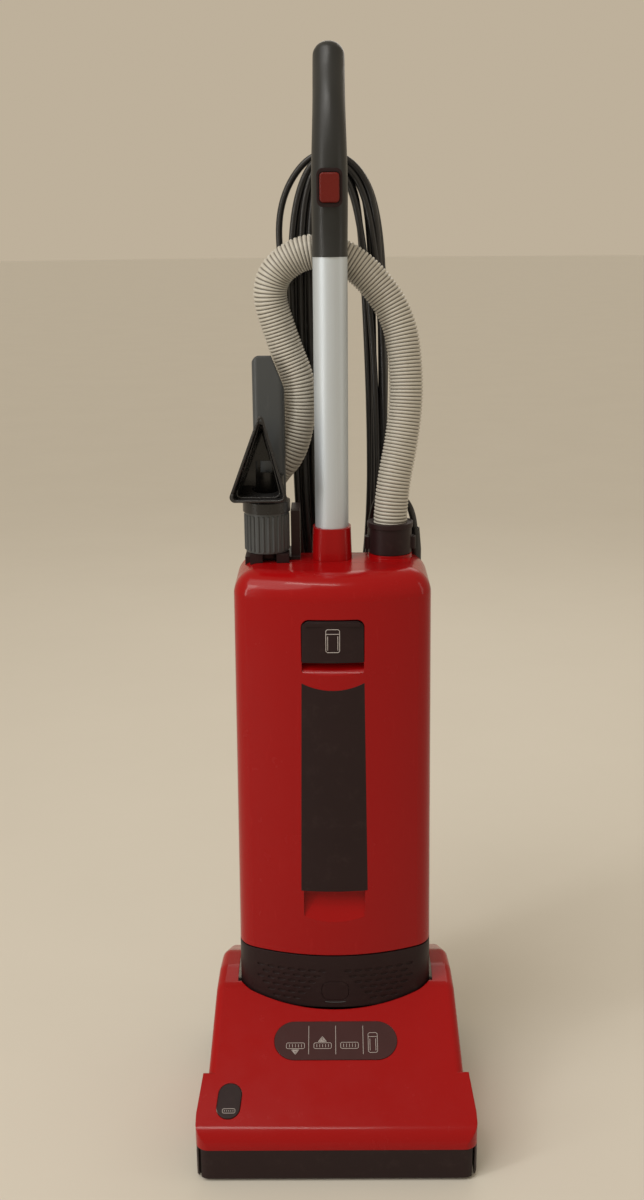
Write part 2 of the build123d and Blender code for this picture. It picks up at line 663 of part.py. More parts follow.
def latch_outline(gap, y=0.0):
    """Latch flap seen from the front, with rounded upper corners."""
    with BuildSketch(front_plane(y), mode=Mode.PRIVATE) as flap:
        with Locations((0, (LATCH_LOW + LATCH_TOP) / 2)):
            Rectangle(2 * (LATCH_HALF + gap), LATCH_TOP - LATCH_LOW + 2 * gap)
        fillet(flap.vertices().group_by(Axis.Y)[-1], 9)
        fillet(flap.vertices().group_by(Axis.Y)[0], 2.5)
    return flap.sketch


def strip_outline():
    """Long dark strip, wider at its foot, its top edge dipping in the middle."""
    with BuildSketch(front_plane(0), mode=Mode.PRIVATE) as strip:
        with BuildLine():
            Polyline((-34.5, STRIP_TOP), (-38, STRIP_LOW), (38, STRIP_LOW), (34.5, STRIP_TOP))
            ThreePointArc((34.5, STRIP_TOP), (0, STRIP_TOP - 8), (-34.5, STRIP_TOP))
        make_face()
    return strip.sketch


with BuildPart() as door_spine:
    add(OUTER)
    slab(-44, 44, -40, -7, 228, 614, mode=Mode.INTERSECT)

POCKET_Y = -11.0            # floor of the latch pocket
LATCH_PIN_Y, LATCH_PIN_Z = -18.4, 597.2
SCOOP_TOP = LATCH_LOW - 4
SCOOP_FOOT = (-28.2, 523.5)  # where the scoop's rounded floor meets the front face

with BuildPart() as upper_scoop:
    with BuildSketch(side_plane(-LATCH_HALF)):
        with BuildLine():
            ThreePointArc((POCKET_Y, SCOOP_TOP), (-21.5, 543), SCOOP_FOOT)
            Polyline(SCOOP_FOOT, (-40, SCOOP_FOOT[1]), (-40, LATCH_LOW + 3), (POCKET_Y, LATCH_LOW + 3),
                     (POCKET_Y, SCOOP_TOP))
        make_face()
    extrude(amount=2 * LATCH_HALF)

with BuildPart() as lower_scoop:
    with BuildSketch(side_plane(-40)):
        with BuildLine():
            Polyline((-13, STRIP_LOW), (-13, STRIP_LOW - 8), (-30, 234), (-40, 234),
                     (-40, STRIP_LOW), (-13, STRIP_LOW))
        make_face()
    extrude(amount=80)
    with BuildSketch(front_plane(0)):
        with Locations((0, STRIP_LOW - 10)):
            RectangleRounded(70, 66, 16)
    extrude(amount=40, mode=Mode.INTERSECT)

with BuildPart() as strip_layer:
    add(OUTER)
    add(INNER, mode=Mode.SUBTRACT)
    extrude(strip_outline(), amount=40, mode=Mode.INTERSECT)

with BuildPart() as lifted_pocket:
    extrude(latch_outline(0.5, POCKET_Y), amount=40)

with BuildPart() as bag_door:
    add(OUTER)
    add(INNER, mode=Mode.SUBTRACT)
    slab(-120, 120, -40, SPLIT_Y, DOOR_Z, BODY_TOP, mode=Mode.INTERSECT)
    add(door_spine.part)
    add(strip_layer.part, mode=Mode.SUBTRACT)
    extrude(latch_outline(0.5, POCKET_Y), amount=40, mode=Mode.SUBTRACT)
    # extra room above the flap, whose top edge rises as it is pulled open
    with Locations((0, 0, 1.2)):
        add(lifted_pocket.part, mode=Mode.SUBTRACT)
    add(upper_scoop.part, mode=Mode.SUBTRACT)
    add(lower_scoop.part, mode=Mode.SUBTRACT)
    # bores for the latch's trunnions, and the two lugs that hook behind the band
    rod_x(1.5 + RUN_FIT, -36.8, 36.8, LATCH_PIN_Y, LATCH_PIN_Z, mode=Mode.SUBTRACT)
    for x in (-44, 44):
        slab(x - 6, x + 6, -17.5, -14.5, 189, 206)
        slab(x - 6, x + 6, -21, -14.5, 199.5, 206)
save(bag_door, "bag_door")

with BuildPart() as door_strip:
    add(strip_layer.part)
save(door_strip, "door_strip")

with BuildPart() as flap_form:
    add(OUTER)
    add(body_envelope(3.4), mode=Mode.SUBTRACT)

with BuildPart() as door_latch:
    extrude(latch_outline(0, POCKET_Y), amount=40)
    add(flap_form.part, mode=Mode.INTERSECT)
    fillet(door_latch.faces().sort_by(Axis.Y)[0].edges(), 0.8)
    rod_x(2.8, -30, 30, LATCH_PIN_Y, LATCH_PIN_Z)
    slab(-30, 30, -24, LATCH_PIN_Y, LATCH_PIN_Z - 2.2, LATCH_PIN_Z + 2.2)
    rod_x(1.5, -36.5, 36.5, LATCH_PIN_Y, LATCH_PIN_Z)
save(door_latch, "door_latch")

with BuildPart() as dust_bag:
    with BuildSketch(level(224)) as plan:
        with Locations((0, 50)):
            RectangleRounded(172, 92, 26)
    extrude(amount=326)
    fillet(dust_bag.edges().group_by(Axis.Z)[0] + dust_bag.edges().group_by(Axis.Z)[-1], 20)
    rod_z(19, 540, 602.6, CUFF_X, CUFF_Y - 6)
save(dust_bag, "dust_bag")

with BuildPart() as bag_holder:
    slab(24, 102, 46, 96, 603, 606)
    rod_z(PORT_R + 0.4, 600, 611, CUFF_X, CUFF_Y, mode=Mode.SUBTRACT)
    slab(99, 102, 46, 96, 596, 612)
save(bag_holder, "bag_holder")

with BuildPart() as premotor_filter:
    slab(-46, 46, 48, 111, DOOR_Z + 1.8, DOOR_Z + 13)
    fillet(premotor_filter.edges().filter_by(Axis.Z), 10)
save(premotor_filter, "premotor_filter")

# ---------------------------------------------------------------- air path at the back

with BuildPart() as rear_duct:
    slab(WAND_X - 17, WAND_X + 17, 118.2, 146, 108, 240)
    fillet(rear_duct.edges().filter_by(Axis.Z).group_by(Axis.Y)[-1], 10)
    slab(WAND_X - 14, WAND_X + 14, 121, 143, 111, 241, mode=Mode.SUBTRACT)
    slab(WAND_X - 14, WAND_X + 14, 110, 125, 114, 132, mode=Mode.SUBTRACT)
    rod_z(20.8, 240, 276, WAND_X, WAND_Y)
    rod_z(WAND_R + RUN_FIT, 243, 280, WAND_X, WAND_Y, mode=Mode.SUBTRACT)
    rod_z(10, 238, 245, WAND_X, WAND_Y, mode=Mode.SUBTRACT)
save(rear_duct, "rear_duct")

with BuildPart() as wand:
    rod_z(WAND_R, 246, 668, WAND_X, WAND_Y)
    rod_z(WAND_R - 1.6, 240, 670, WAND_X, WAND_Y, mode=Mode.SUBTRACT)
save(wand, "wand")

with BuildPart() as wand_handle:
    rod_z(21, 642, 702, WAND_X, WAND_Y)
    fillet(wand_handle.edges().group_by(Axis.Z)[-1], 2)
    rod_z(WAND_R, 640, 668, WAND_X, WAND_Y, mode=Mode.SUBTRACT)
    rod_z(WAND_R - 2, 660, 685, WAND_X, WAND_Y, mode=Mode.SUBTRACT)
    rod_z(HOSE_R + 0.5, 685, 705, WAND_X, WAND_Y, mode=Mode.SUBTRACT)
save(wand_handle, "wand_handle")

with BuildPart() as hose_cuff:
    rod_z(24.5, 654, 688, CUFF_X, CUFF_Y)
    rod_z(26, 683.5, 689, CUFF_X, CUFF_Y)
    slab(CUFF_X - 29, CUFF_X + 29, CUFF_Y - 6, CUFF_Y + 6, 658, 672)
    fillet(hose_cuff.edges().filter_by(Axis.Z).filter_by(lambda e: abs((e @ 0.5).X - CUFF_X) > 28), 4)
    rod_z(PORT_R + RUN_FIT, 650, 670, CUFF_X, CUFF_Y, mode=Mode.SUBTRACT)
    rod_z(15, 660, 675, CUFF_X, CUFF_Y, mode=Mode.SUBTRACT)
    rod_z(HOSE_R + 0.4, 672, 692, CUFF_X, CUFF_Y, mode=Mode.SUBTRACT)
save(hose_cuff, "hose_cuff")

HOSE_POINTS = [(66, 78, 674), (66, 78, 716), (82, 91, 793), (85, 97, 853), (75, 106, 921), (25, 110, 978),
               (-28, 110, 989), (-74, 114, 953), (-52, 118, 883), (-32, 118, 833), (-43, 118.5, 765),
               (-70, 126, 736), (-80, 129, 708), (-80, 129.3, 686)]


def bend_radii(points):
    """Radius of each bend: 0.45 of the shorter run over the tangent of half the turn."""
    radii = []
    for before, here, after in zip(points, points[1:], points[2:]):
        run_in, run_out = Vector(*here) - Vector(*before), Vector(*after) - Vector(*here)
        turn = math.radians(run_in.get_angle(run_out))
        radii.append(0.45 * min(run_in.length, run_out.length) / math.tan(turn / 2))
    return radii


def flexible_tube(name, points, radius):
    """Plain tube of straight runs joined by tangent arcs, with its checks printed."""
    radii = bend_radii(points)
    with BuildPart(mode=Mode.PRIVATE) as tube:
        with BuildLine() as path:
            FilletPolyline(*points, radius=radii)
        first_run = Vector(*points[1]) - Vector(*points[0])
        with BuildSketch(Plane(origin=points[0], z_dir=first_run)):
            Circle(radius)
        sweep()
    length = sum(edge.length for edge in path.edges())
    ratio = tube.part.volume / (math.pi * radius ** 2 * length)
    print(f"{name}: radii {[round(r) for r in radii]} mm, length {length:.0f} mm,",
          f"volume ratio {ratio:.4f}")
    return tube.part


with BuildPart() as hose:
    add(flexible_tube("hose", HOSE_POINTS, HOSE_R))
save(hose, "hose")

# ---------------------------------------------------------------- handle

with BuildPart() as handle_tube:
    rod_z(TUBE_R, 566, TUBE_TOP, 0, TUBE_Y)
    rod_z(TUBE_R - 1.8, 560, TUBE_TOP + 1, 0, TUBE_Y, mode=Mode.SUBTRACT)
save(handle_tube, "handle_tube")

with BuildPart() as tube_collar:
    with BuildSketch(level(BODY_TOP)):
        with Locations((0, TUBE_Y)):
            RectangleRounded(45, 45, 16)
    with BuildSketch(level(COLLAR_TOP)):
        with Locations((0, TUBE_Y)):
            RectangleRounded(42.5, 42.5, 17)
    loft()
    rod_z(TUBE_R, 640, 690, 0, TUBE_Y, mode=Mode.SUBTRACT)
save(tube_collar, "tube_collar")

GRIP_LEAN = math.radians(28)


def grip_plane(y, z, lean):
    """Plane across the grip at a point of its centre line."""
    return Plane(origin=(0, y, z), x_dir=(1, 0, 0), z_dir=(0, math.sin(lean), math.cos(lean)))


with BuildPart() as handle_grip:
    stations = [(TUBE_Y, TUBE_TOP, 0, 19.2, 19.6), (TUBE_Y, 1035, 0, 19.4, 20),
                (TUBE_Y + 1, 1074, 0.09, 19, 20), (TUBE_Y + 9, 1108, GRIP_LEAN * 0.8, 18, 19),
                (TUBE_Y + 28, 1147, GRIP_LEAN, 17.2, 18), (TUBE_Y + 54.8, 1197.3, GRIP_LEAN, 16.6, 17.5)]
    for y, z, lean, half_width, half_depth in stations:
        with BuildSketch(grip_plane(y, z, lean)):
            Ellipse(half_width, half_depth)
    loft()
    fillet(handle_grip.faces().sort_by(Axis.Z)[-1].edges(), 13.5)
    rod_z(TUBE_R - 1.8, TUBE_TOP - 26, TUBE_TOP + 2, 0, TUBE_Y)
    with BuildSketch(front_plane(61)):
        with Locations((0, SWITCH_Z)):
            RectangleRounded(23, 32, 5)
    extrude(amount=30, mode=Mode.SUBTRACT)
    rod_y(5 + RUN_FIT, 76, 100, 0, HOOK_Z, mode=Mode.SUBTRACT)
save(handle_grip, "handle_grip")

SWITCH_PIN_Y = 51.8

with BuildPart() as grip_core:
    rod_z(20.3, 1000, 1100, 0, TUBE_Y)

with BuildPart() as switch_bezel:
    with BuildSketch(front_plane(54)):
        with Locations((0, SWITCH_Z)):
            RectangleRounded(27, 39, 7)
            RectangleRounded(22, 31, 4.6, mode=Mode.SUBTRACT)
    extrude(amount=6)
    add(grip_core.part, mode=Mode.SUBTRACT)
    rod_x(1.2 + RUN_FIT, -12.4, 12.4, SWITCH_PIN_Y, SWITCH_Z, mode=Mode.SUBTRACT)
save(switch_bezel, "switch_bezel")

with BuildPart() as power_switch:
    with BuildSketch(front_plane(55)):
        with Locations((0, SWITCH_Z)):
            RectangleRounded(21, 30, 4)
    extrude(amount=9.5)
    fillet(power_switch.faces().sort_by(Axis.Y)[0].edges(), 1.6)
    rod_x(1.2, -12.3, 12.3, SWITCH_PIN_Y, SWITCH_Z)
save(power_switch, "power_switch")

with BuildPart() as cable_hook_upper:
    rod_y(5, 77, 92, 0, HOOK_Z)
    rod_y(8, 91, REAR_Y, 0, HOOK_Z)
    slab(-8, 8, HANK_REAR + 1.5, REAR_Y, HOOK_Z, HOOK_Z + 24)
    fillet(cable_hook_upper.edges().filter_by(Axis.Y).group_by(Axis.Z)[-1], 6)
save(cable_hook_upper, "cable_hook_upper")

with BuildPart() as cable_hook_lower:
    slab(-2, 26, BODY_REAR, BODY_REAR + 3, 545, 585)
    slab(6, 18, BODY_REAR + 3, 163, 558, 567)
    slab(6, 18, HANK_REAR + 1, 163, 537, 567)
save(cable_hook_lower, "cable_hook_lower")

with BuildPart() as hose_hook:
    rod_z(22, 946, 960, 0, TUBE_Y)
    slab(-14, 8, 80, 133, 955, 960)
    slab(-14, 8, 130, 133, 955, 972)
    rod_z(TUBE_R, 940, 970, 0, TUBE_Y, mode=Mode.SUBTRACT)
    # only a saddle at the back of the tube is left
    slab(-30, 30, 40, TUBE_Y + 12, 940, 975, mode=Mode.SUBTRACT)
save(hose_hook, "hose_hook")

# ---------------------------------------------------------------- tools and their holder

HOLDER_TOP = BODY_TOP + 4
PEG_R = 15.0

with BuildPart() as tool_holder:
    # base plate moulded to the body's rounded shoulder
    slab(-98, -36, 56, 107, BODY_TOP - 22, HOLDER_TOP)
    for x in (TOOL_X - 11.5, TOOL_X + 18):
        slab(x - 7, x + 7, 42, 60, BODY_TOP - 22, 660.5)
    add(OUTER, mode=Mode.SUBTRACT)
    rod_z(22.5, BODY_TOP - 23, HOLDER_TOP + 1, WAND_X, WAND_Y, mode=Mode.SUBTRACT)
    rod_z(PEG_R, HOLDER_TOP, 700, TOOL_X, TOOL_Y)
    slab(-46, -36, 58, 104, HOLDER_TOP, 706)
    slab(CREVICE_X - 14, CREVICE_X + 14, CREVICE_Y - 4.5, CREVICE_Y + 4.5, HOLDER_TOP, HOLDER_TOP + 19)
save(tool_holder, "tool_holder")

with BuildPart() as ribbed_collar:
    rod_z(24, 661, 706, TOOL_X, TOOL_Y)
    with BuildSketch(level(663)):
        with Locations((TOOL_X, TOOL_Y)):
            with PolarLocations(24, 26):
                Circle(1.5)
    extrude(amount=40)
    rod_z(PEG_R + 0.4, 660, 707, TOOL_X, TOOL_Y, mode=Mode.SUBTRACT)
save(ribbed_collar, "ribbed_collar")

MOUTH_Y = 26.0


def mouth_outline(inset, y):
    """Rounded triangle of the upholstery nozzle's mouth."""
    with BuildSketch(front_plane(y), mode=Mode.PRIVATE) as mouth:
        with BuildLine():
            Polyline((-114, 722), (-47, 722), (-75.5, 824), (-114, 722))
        make_face()
        fillet(mouth.vertices(), 6)
        if inset:
            offset(amount=-inset)
    return mouth.sketch


with BuildPart() as upholstery_nozzle:
    extrude(mouth_outline(0, MOUTH_Y), amount=-50, taper=9)
    rod_z(20, 714, 746, TOOL_X, TOOL_Y)
    extrude(mouth_outline(2.6, MOUTH_Y), amount=-46, taper=9.5, mode=Mode.SUBTRACT)
    rod_z(26.5, 706.2, 718, TOOL_X, TOOL_Y)
    rod_z(15.4, 700, 760, TOOL_X, TOOL_Y, mode=Mode.SUBTRACT)
save(upholstery_nozzle, "upholstery_nozzle")

CREVICE_TOP = 873.0
CREVICE_W = 36.0

with BuildPart() as crevice_nozzle:
    with BuildSketch(level(HOLDER_TOP + 1)):
        with Locations((CREVICE_X, CREVICE_Y)):
            RectangleRounded(CREVICE_W, 15, 7)
    extrude(amount=CREVICE_TOP - HOLDER_TOP - 1)
    # obliquely cut tip with one rounded corner
    with BuildSketch(front_plane(CREVICE_Y + 20)) as tip:
        with BuildLine():
            Polyline((-90, 640), (-50, 640), (-50, 831), (-66.8, CREVICE_TOP), (-88, CREVICE_TOP), (-90, 640))
        make_face()
        fillet(tip.vertices().sort_by(Axis.Y)[-2:].sort_by(Axis.X)[0], 8)
    extrude(amount=40, mode=Mode.INTERSECT)
    with BuildSketch(level(HOLDER_TOP)):
        with Locations((CREVICE_X, CREVICE_Y)):
            RectangleRounded(CREVICE_W - 4, 11, 5)
    extrude(amount=CREVICE_TOP - HOLDER_TOP + 5, mode=Mode.SUBTRACT)
save(crevice_nozzle, "crevice_nozzle")

# ---------------------------------------------------------------- power cord

RELIEF_X, RELIEF_Y = 96.0, 98.0
with BuildPart() as strain_relief:
    rod_z(7, 632, BODY_TOP + 2, RELIEF_X, RELIEF_Y)
    with BuildSketch(level(BODY_TOP + 2)):
        with Locations((RELIEF_X, RELIEF_Y)):
            Circle(7)
    with BuildSketch(level(BODY_TOP + 27)):
        with Locations((RELIEF_X, RELIEF_Y)):
            Circle(4.8)
    loft()
    rod_z(CORD_R, 630, 680, RELIEF_X, RELIEF_Y, mode=Mode.SUBTRACT)
save(strain_relief, "strain_relief")

LEAD_POINTS = [(96, 98, 654), (96, 99, 680), (88, 108, 706), (70, 122, 715), (54, 138, 706), (47, 147, 680),
               (46, 148, 656)]
TAIL_POINTS = [(4, 147, 537), (3, 147, 522), (8, 149, 506), (10, 150, 492)]

with BuildPart() as cord_ends:
    add(flexible_tube("cord lead", LEAD_POINTS, CORD_R))
    add(flexible_tube("cord tail", TAIL_POINTS, CORD_R))
save(cord_ends, "cord_ends")

with BuildPart() as cord_hank:
    with BuildSketch(front_plane(HANK_REAR)):
        with BuildLine():
            Spline((-47, 990), (-26, 1076), (10, 1094), (46, 1070), (64, 990), (67, 820), (66, 690),
                   (56, 585), (12, 529), (-34, 585), (-44, 690), (-45, 820), periodic=True)
        make_face()
        with BuildLine():
            Spline((-20, 990), (-15, 1056), (-6, 1071), (6, 1072), (16, 1062), (30, 1015), (38, 900),
                   (42, 760), (43, 690), (34, 590), (22, 556), (12, 551), (2, 556), (-9, 590),
                   (-20, 690), (-20, 820), periodic=True)
        make_face(mode=Mode.SUBTRACT)
    extrude(amount=HANK_REAR - HANK_FRONT)
save(cord_hank, "cord_hank")

with BuildPart() as plug:
    with BuildSketch(front_plane(161)):
        with Locations((10, 462)):
            RectangleRounded(48, 50, 10)
    extrude(amount=19)
    fillet(plug.faces().sort_by(Axis.Y)[-1].edges(), 3)
    rod_z(5.5, 485, 496, 10, 150)
    rod_z(CORD_R, 488, 500, 10, 150, mode=Mode.SUBTRACT)
    for x, z, width, height in ((-1.1, 471, 4, 6.3), (21.1, 471, 4, 6.3), (10, 449, 8, 4)):
        slab(x - width / 2, x + width / 2, 121, 143, z - height / 2, z + height / 2)
save(plug, "plug")
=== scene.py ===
import json
import math
import random

import bpy
import numpy as np
from mathutils import Matrix, Vector
from mathutils.bvhtree import BVHTree


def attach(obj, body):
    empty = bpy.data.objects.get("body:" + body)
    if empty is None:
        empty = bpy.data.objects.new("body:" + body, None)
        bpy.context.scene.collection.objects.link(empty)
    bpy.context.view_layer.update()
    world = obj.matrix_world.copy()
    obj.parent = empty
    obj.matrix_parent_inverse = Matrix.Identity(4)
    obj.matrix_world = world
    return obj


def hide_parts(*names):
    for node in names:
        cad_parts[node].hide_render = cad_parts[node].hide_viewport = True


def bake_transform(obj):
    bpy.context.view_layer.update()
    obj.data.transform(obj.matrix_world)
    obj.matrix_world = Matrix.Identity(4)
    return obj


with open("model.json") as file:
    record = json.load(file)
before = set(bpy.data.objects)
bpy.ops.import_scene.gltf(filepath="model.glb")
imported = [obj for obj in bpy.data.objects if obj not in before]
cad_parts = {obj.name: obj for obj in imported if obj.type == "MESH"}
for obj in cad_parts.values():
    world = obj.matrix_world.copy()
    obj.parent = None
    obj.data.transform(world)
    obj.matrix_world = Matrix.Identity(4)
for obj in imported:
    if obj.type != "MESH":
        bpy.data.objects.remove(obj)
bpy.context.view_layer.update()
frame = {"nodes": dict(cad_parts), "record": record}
nodes = frame["nodes"]
MM = 0.001


# ---------------------------------------------------------------- camera, light and floor

CAMERA_PLACE = Vector((0.0, -1.382, 1.015))
CAMERA_PITCH = math.radians(16.0)
CAMERA_YAW = -0.00826
CAMERA_ROLL = -0.00964
CAMERA_LENS = 39.48


def make_camera():
    """Standing eye height, looking slightly down at the machine's front."""
    forward = Vector((math.sin(CAMERA_YAW) * math.cos(CAMERA_PITCH),
                      math.cos(CAMERA_YAW) * math.cos(CAMERA_PITCH), -math.sin(CAMERA_PITCH)))
    level = Vector((math.cos(CAMERA_YAW), -math.sin(CAMERA_YAW), 0.0))
    rise = level.cross(forward)
    right = level * math.cos(CAMERA_ROLL) + rise * math.sin(CAMERA_ROLL)
    up = rise * math.cos(CAMERA_ROLL) - level * math.sin(CAMERA_ROLL)
    data = bpy.data.cameras.new("camera")
    data.lens = CAMERA_LENS
    data.sensor_width = 36.0
    camera = bpy.data.objects.new("camera", data)
    turn = Matrix((right, up, -forward)).transposed().to_4x4()
    camera.matrix_world = Matrix.Translation(CAMERA_PLACE) @ turn
    bpy.context.scene.collection.objects.link(camera)
    bpy.context.scene.camera = camera


def soft_light(name, place, target, width, height, watts, colour=(1.0, 0.97, 0.92)):
    """Rectangular softbox aimed at a point."""
    data = bpy.data.lights.new(name, "AREA")
    data.shape = "RECTANGLE"
    data.size = width
    data.size_y = height
    data.energy = watts
    data.color = colour
    light = bpy.data.objects.new(name, data)
    light.location = place
    light.rotation_euler = (Vector(target) - Vector(place)).to_track_quat("-Z", "Y").to_euler()
    bpy.context.scene.collection.objects.link(light)


def make_lights():
    """Even daylight from the front left, thin softboxes for the shine, a room-coloured world."""
    soft_light("ceiling_light", (-0.3, -0.7, 2.5), (0.0, 0.0, 0.5), 0.9, 0.25, 7)
    soft_light("left_softbox", (-1.6, -1.0, 1.2), (0.0, 0.0, 0.6), 0.25, 1.6, 10)
    soft_light("right_softbox", (1.8, -0.4, 1.1), (0.0, 0.0, 0.5), 0.2, 1.5, 2)
    soft_light("back_softbox", (0.4, 2.0, 2.0), (0.0, 0.0, 0.6), 1.6, 1.2, 9)
    data = bpy.data.lights.new("daylight", "SUN")
    data.energy = 1.0
    data.angle = math.radians(40.0)
    data.color = (1.0, 0.98, 0.95)
    sun = bpy.data.objects.new("daylight", data)
    sun.rotation_euler = Vector((0.95, 0.75, -1.5)).to_track_quat("-Z", "Y").to_euler()
    bpy.context.scene.collection.objects.link(sun)
    world = bpy.data.worlds.new("pale_room")
    world.use_nodes = True
    background = world.node_tree.nodes["Background"]
    background.inputs["Color"].default_value = (0.515, 0.437, 0.328, 1.0)
    background.inputs["Strength"].default_value = 1.0
    bpy.context.scene.world = world
    bpy.context.scene.view_settings.view_transform = "Standard"


def new_mesh(name, verts, faces, smooth=True):
    """Mesh object linked to the scene, from vertices in metres."""
    mesh = bpy.data.meshes.new(name)
    mesh.from_pydata([tuple(v) for v in verts], [], faces)
    mesh.polygons.foreach_set("use_smooth", [smooth] * len(mesh.polygons))
    mesh.update()
    piece = bpy.data.objects.new(name, mesh)
    bpy.context.scene.collection.objects.link(piece)
    return piece


def make_floor(material):
    """Pale round floor that runs out to the horizon."""
    rings, spokes = [0.6, 2.0, 8.0, 40.0], 64
    verts = [(0.0, 0.0, 0.0)]
    for radius in rings:
        verts += [(radius * math.cos(math.tau * i / spokes), radius * math.sin(math.tau * i / spokes), 0.0)
                  for i in range(spokes)]
    faces = [(0, 1 + i, 1 + (i + 1) % spokes) for i in range(spokes)]
    for ring in range(len(rings) - 1):
        inner, outer = 1 + ring * spokes, 1 + (ring + 1) * spokes
        faces += [(inner + i, outer + i, outer + (i + 1) % spokes, inner + (i + 1) % spokes)
                  for i in range(spokes)]
    floor = new_mesh("floor", verts, faces, smooth=False)
    floor.data.materials.append(material)


# ---------------------------------------------------------------- materials

class Shader:
    """A Principled material with helpers for procedural detail in object coordinates."""

    def __init__(self, name):
        self.material = bpy.data.materials.new(name)
        self.material.use_nodes = True
        self.tree = self.material.node_tree
        self.shader = self.tree.nodes["Principled BSDF"]
        self.place = self.tree.nodes.new("ShaderNodeTexCoord").outputs["Object"]
        self.height = None

    def link(self, start, end):
        self.tree.links.new(start, end)

    def set(self, **values):
        for key, value in values.items():
            self.shader.inputs[key.replace("_", " ")].default_value = value
        return self

    def stretched(self, scale):
        """Object coordinates scaled by three factors."""
        mapping = self.tree.nodes.new("ShaderNodeMapping")
        mapping.inputs["Scale"].default_value = scale
        self.link(self.place, mapping.inputs["Vector"])
        return mapping.outputs["Vector"]

    def noise(self, scale, detail=3.0, roughness=0.5, stretch=None):
        noise = self.tree.nodes.new("ShaderNodeTexNoise")
        noise.inputs["Scale"].default_value = scale
        noise.inputs["Detail"].default_value = detail
        noise.inputs["Roughness"].default_value = roughness
        self.link(self.stretched(stretch) if stretch else self.place, noise.inputs["Vector"])
        return noise.outputs["Fac"]

    def voronoi(self, scale, feature="F1"):
        cells = self.tree.nodes.new("ShaderNodeTexVoronoi")
        cells.feature = feature
        cells.inputs["Scale"].default_value = scale
        self.link(self.place, cells.inputs["Vector"])
        return cells.outputs["Distance"]

    def attribute(self, name):
        node = self.tree.nodes.new("ShaderNodeAttribute")
        node.attribute_name = name
        return node.outputs["Fac"]

    def ramp(self, factor, stops):
        """Colour ramp from (position, colour) pairs; a number stands for a grey."""
        node = self.tree.nodes.new("ShaderNodeValToRGB")
        points = node.color_ramp.elements
        while len(points) < len(stops):
            points.new(0.5)
        for point, (position, colour) in zip(points, stops):
            point.position = position
            grey = isinstance(colour, (int, float))
            point.color = (colour, colour, colour, 1.0) if grey else (*colour, 1.0)
        self.link(factor, node.inputs["Fac"])
        return node.outputs["Color"]

    def mix(self, factor, first, second, blend="MIX"):
        """Mix of two colours; factor, first and second are sockets or plain values."""
        node = self.tree.nodes.new("ShaderNodeMix")
        node.data_type = "RGBA"
        node.blend_type = blend
        sockets = [s for s in node.inputs if s.type == "RGBA"]
        for value, socket in ((factor, node.inputs["Factor"]), (first, sockets[0]), (second, sockets[1])):
            if isinstance(value, bpy.types.NodeSocket):
                self.link(value, socket)
            elif isinstance(value, (int, float)):
                socket.default_value = value
            else:
                socket.default_value = (*value, 1.0)
        return [s for s in node.outputs if s.type == "RGBA"][0]

    def colour(self, source):
        self.link(source, self.shader.inputs["Base Color"])

    def roughness(self, factor, low, high):
        self.link(self.ramp(factor, [(0.25, low), (0.75, high)]), self.shader.inputs["Roughness"])

    def bump(self, factor, strength, distance):
        """Adds a bump layer over those already there."""
        node = self.tree.nodes.new("ShaderNodeBump")
        node.inputs["Strength"].default_value = strength
        node.inputs["Distance"].default_value = distance
        self.link(factor, node.inputs["Height"])
        if self.height is not None:
            self.link(self.height, node.inputs["Normal"])
        self.height = node.outputs["Normal"]
        self.link(self.height, self.shader.inputs["Normal"])

    def round_edges(self, radius):
        """Softens hard moulded edges by a small shading radius."""
        node = self.tree.nodes.new("ShaderNodeBevel")
        node.samples = 4
        node.inputs["Radius"].default_value = radius
        self.height = node.outputs["Normal"]
        self.link(self.height, self.shader.inputs["Normal"])


def red_gloss():
    """Deep red ABS with a high shine, fine orange peel and hairline scuffs."""
    s = Shader("red_gloss").set(IOR=1.45, Specular_IOR_Level=0.16, Coat_Weight=0.18, Coat_Roughness=0.05)
    s.round_edges(0.0012)
    body = s.mix(s.noise(2.2, 2.0), (0.34, 0.0035, 0.0045), (0.27, 0.0022, 0.0030))
    scuffs = s.ramp(s.noise(260.0, 2.0, stretch=(1.0, 1.0, 0.12)), [(0.66, 0.0), (0.74, 0.16)])
    s.colour(s.mix(scuffs, body, (0.42, 0.02, 0.02)))
    s.roughness(s.noise(34.0, 5.0, 0.65), 0.16, 0.30)
    s.bump(s.noise(520.0, 2.0), 0.05, 0.0006)
    s.bump(s.noise(9.0, 2.0), 0.10, 0.0012)
    return s.material


def dark_plastic():
    """Warm charcoal moulding with a fine spark-eroded grain and pale rubs."""
    s = Shader("dark_plastic").set(IOR=1.45, Specular_IOR_Level=0.25)
    s.round_edges(0.0010)
    tone = s.mix(s.noise(14.0, 4.0), (0.022, 0.010, 0.011), (0.015, 0.007, 0.008))
    dust = s.ramp(s.noise(60.0, 6.0, 0.7), [(0.55, 0.0), (0.80, 0.35)])
    s.colour(s.mix(dust, tone, (0.050, 0.032, 0.030)))
    s.roughness(s.noise(45.0, 4.0), 0.34, 0.52)
    s.bump(s.voronoi(2300.0), 0.12, 0.0003)
    return s.material


def blue_grey_plastic():
    """Slate-grey satin moulding of the grip and the tools."""
    s = Shader("blue_grey_plastic").set(IOR=1.48)
    s.round_edges(0.0010)
    tone = s.mix(s.noise(12.0, 3.0), (0.063, 0.070, 0.075), (0.049, 0.055, 0.060))
    rub = s.ramp(s.noise(110.0, 4.0, 0.6, stretch=(1.0, 1.0, 0.25)), [(0.60, 0.0), (0.78, 0.3)])
    s.colour(s.mix(rub, tone, (0.12, 0.125, 0.13)))
    s.roughness(s.noise(30.0, 4.0), 0.28, 0.44)
    s.bump(s.voronoi(2600.0), 0.08, 0.0003)
    return s.material


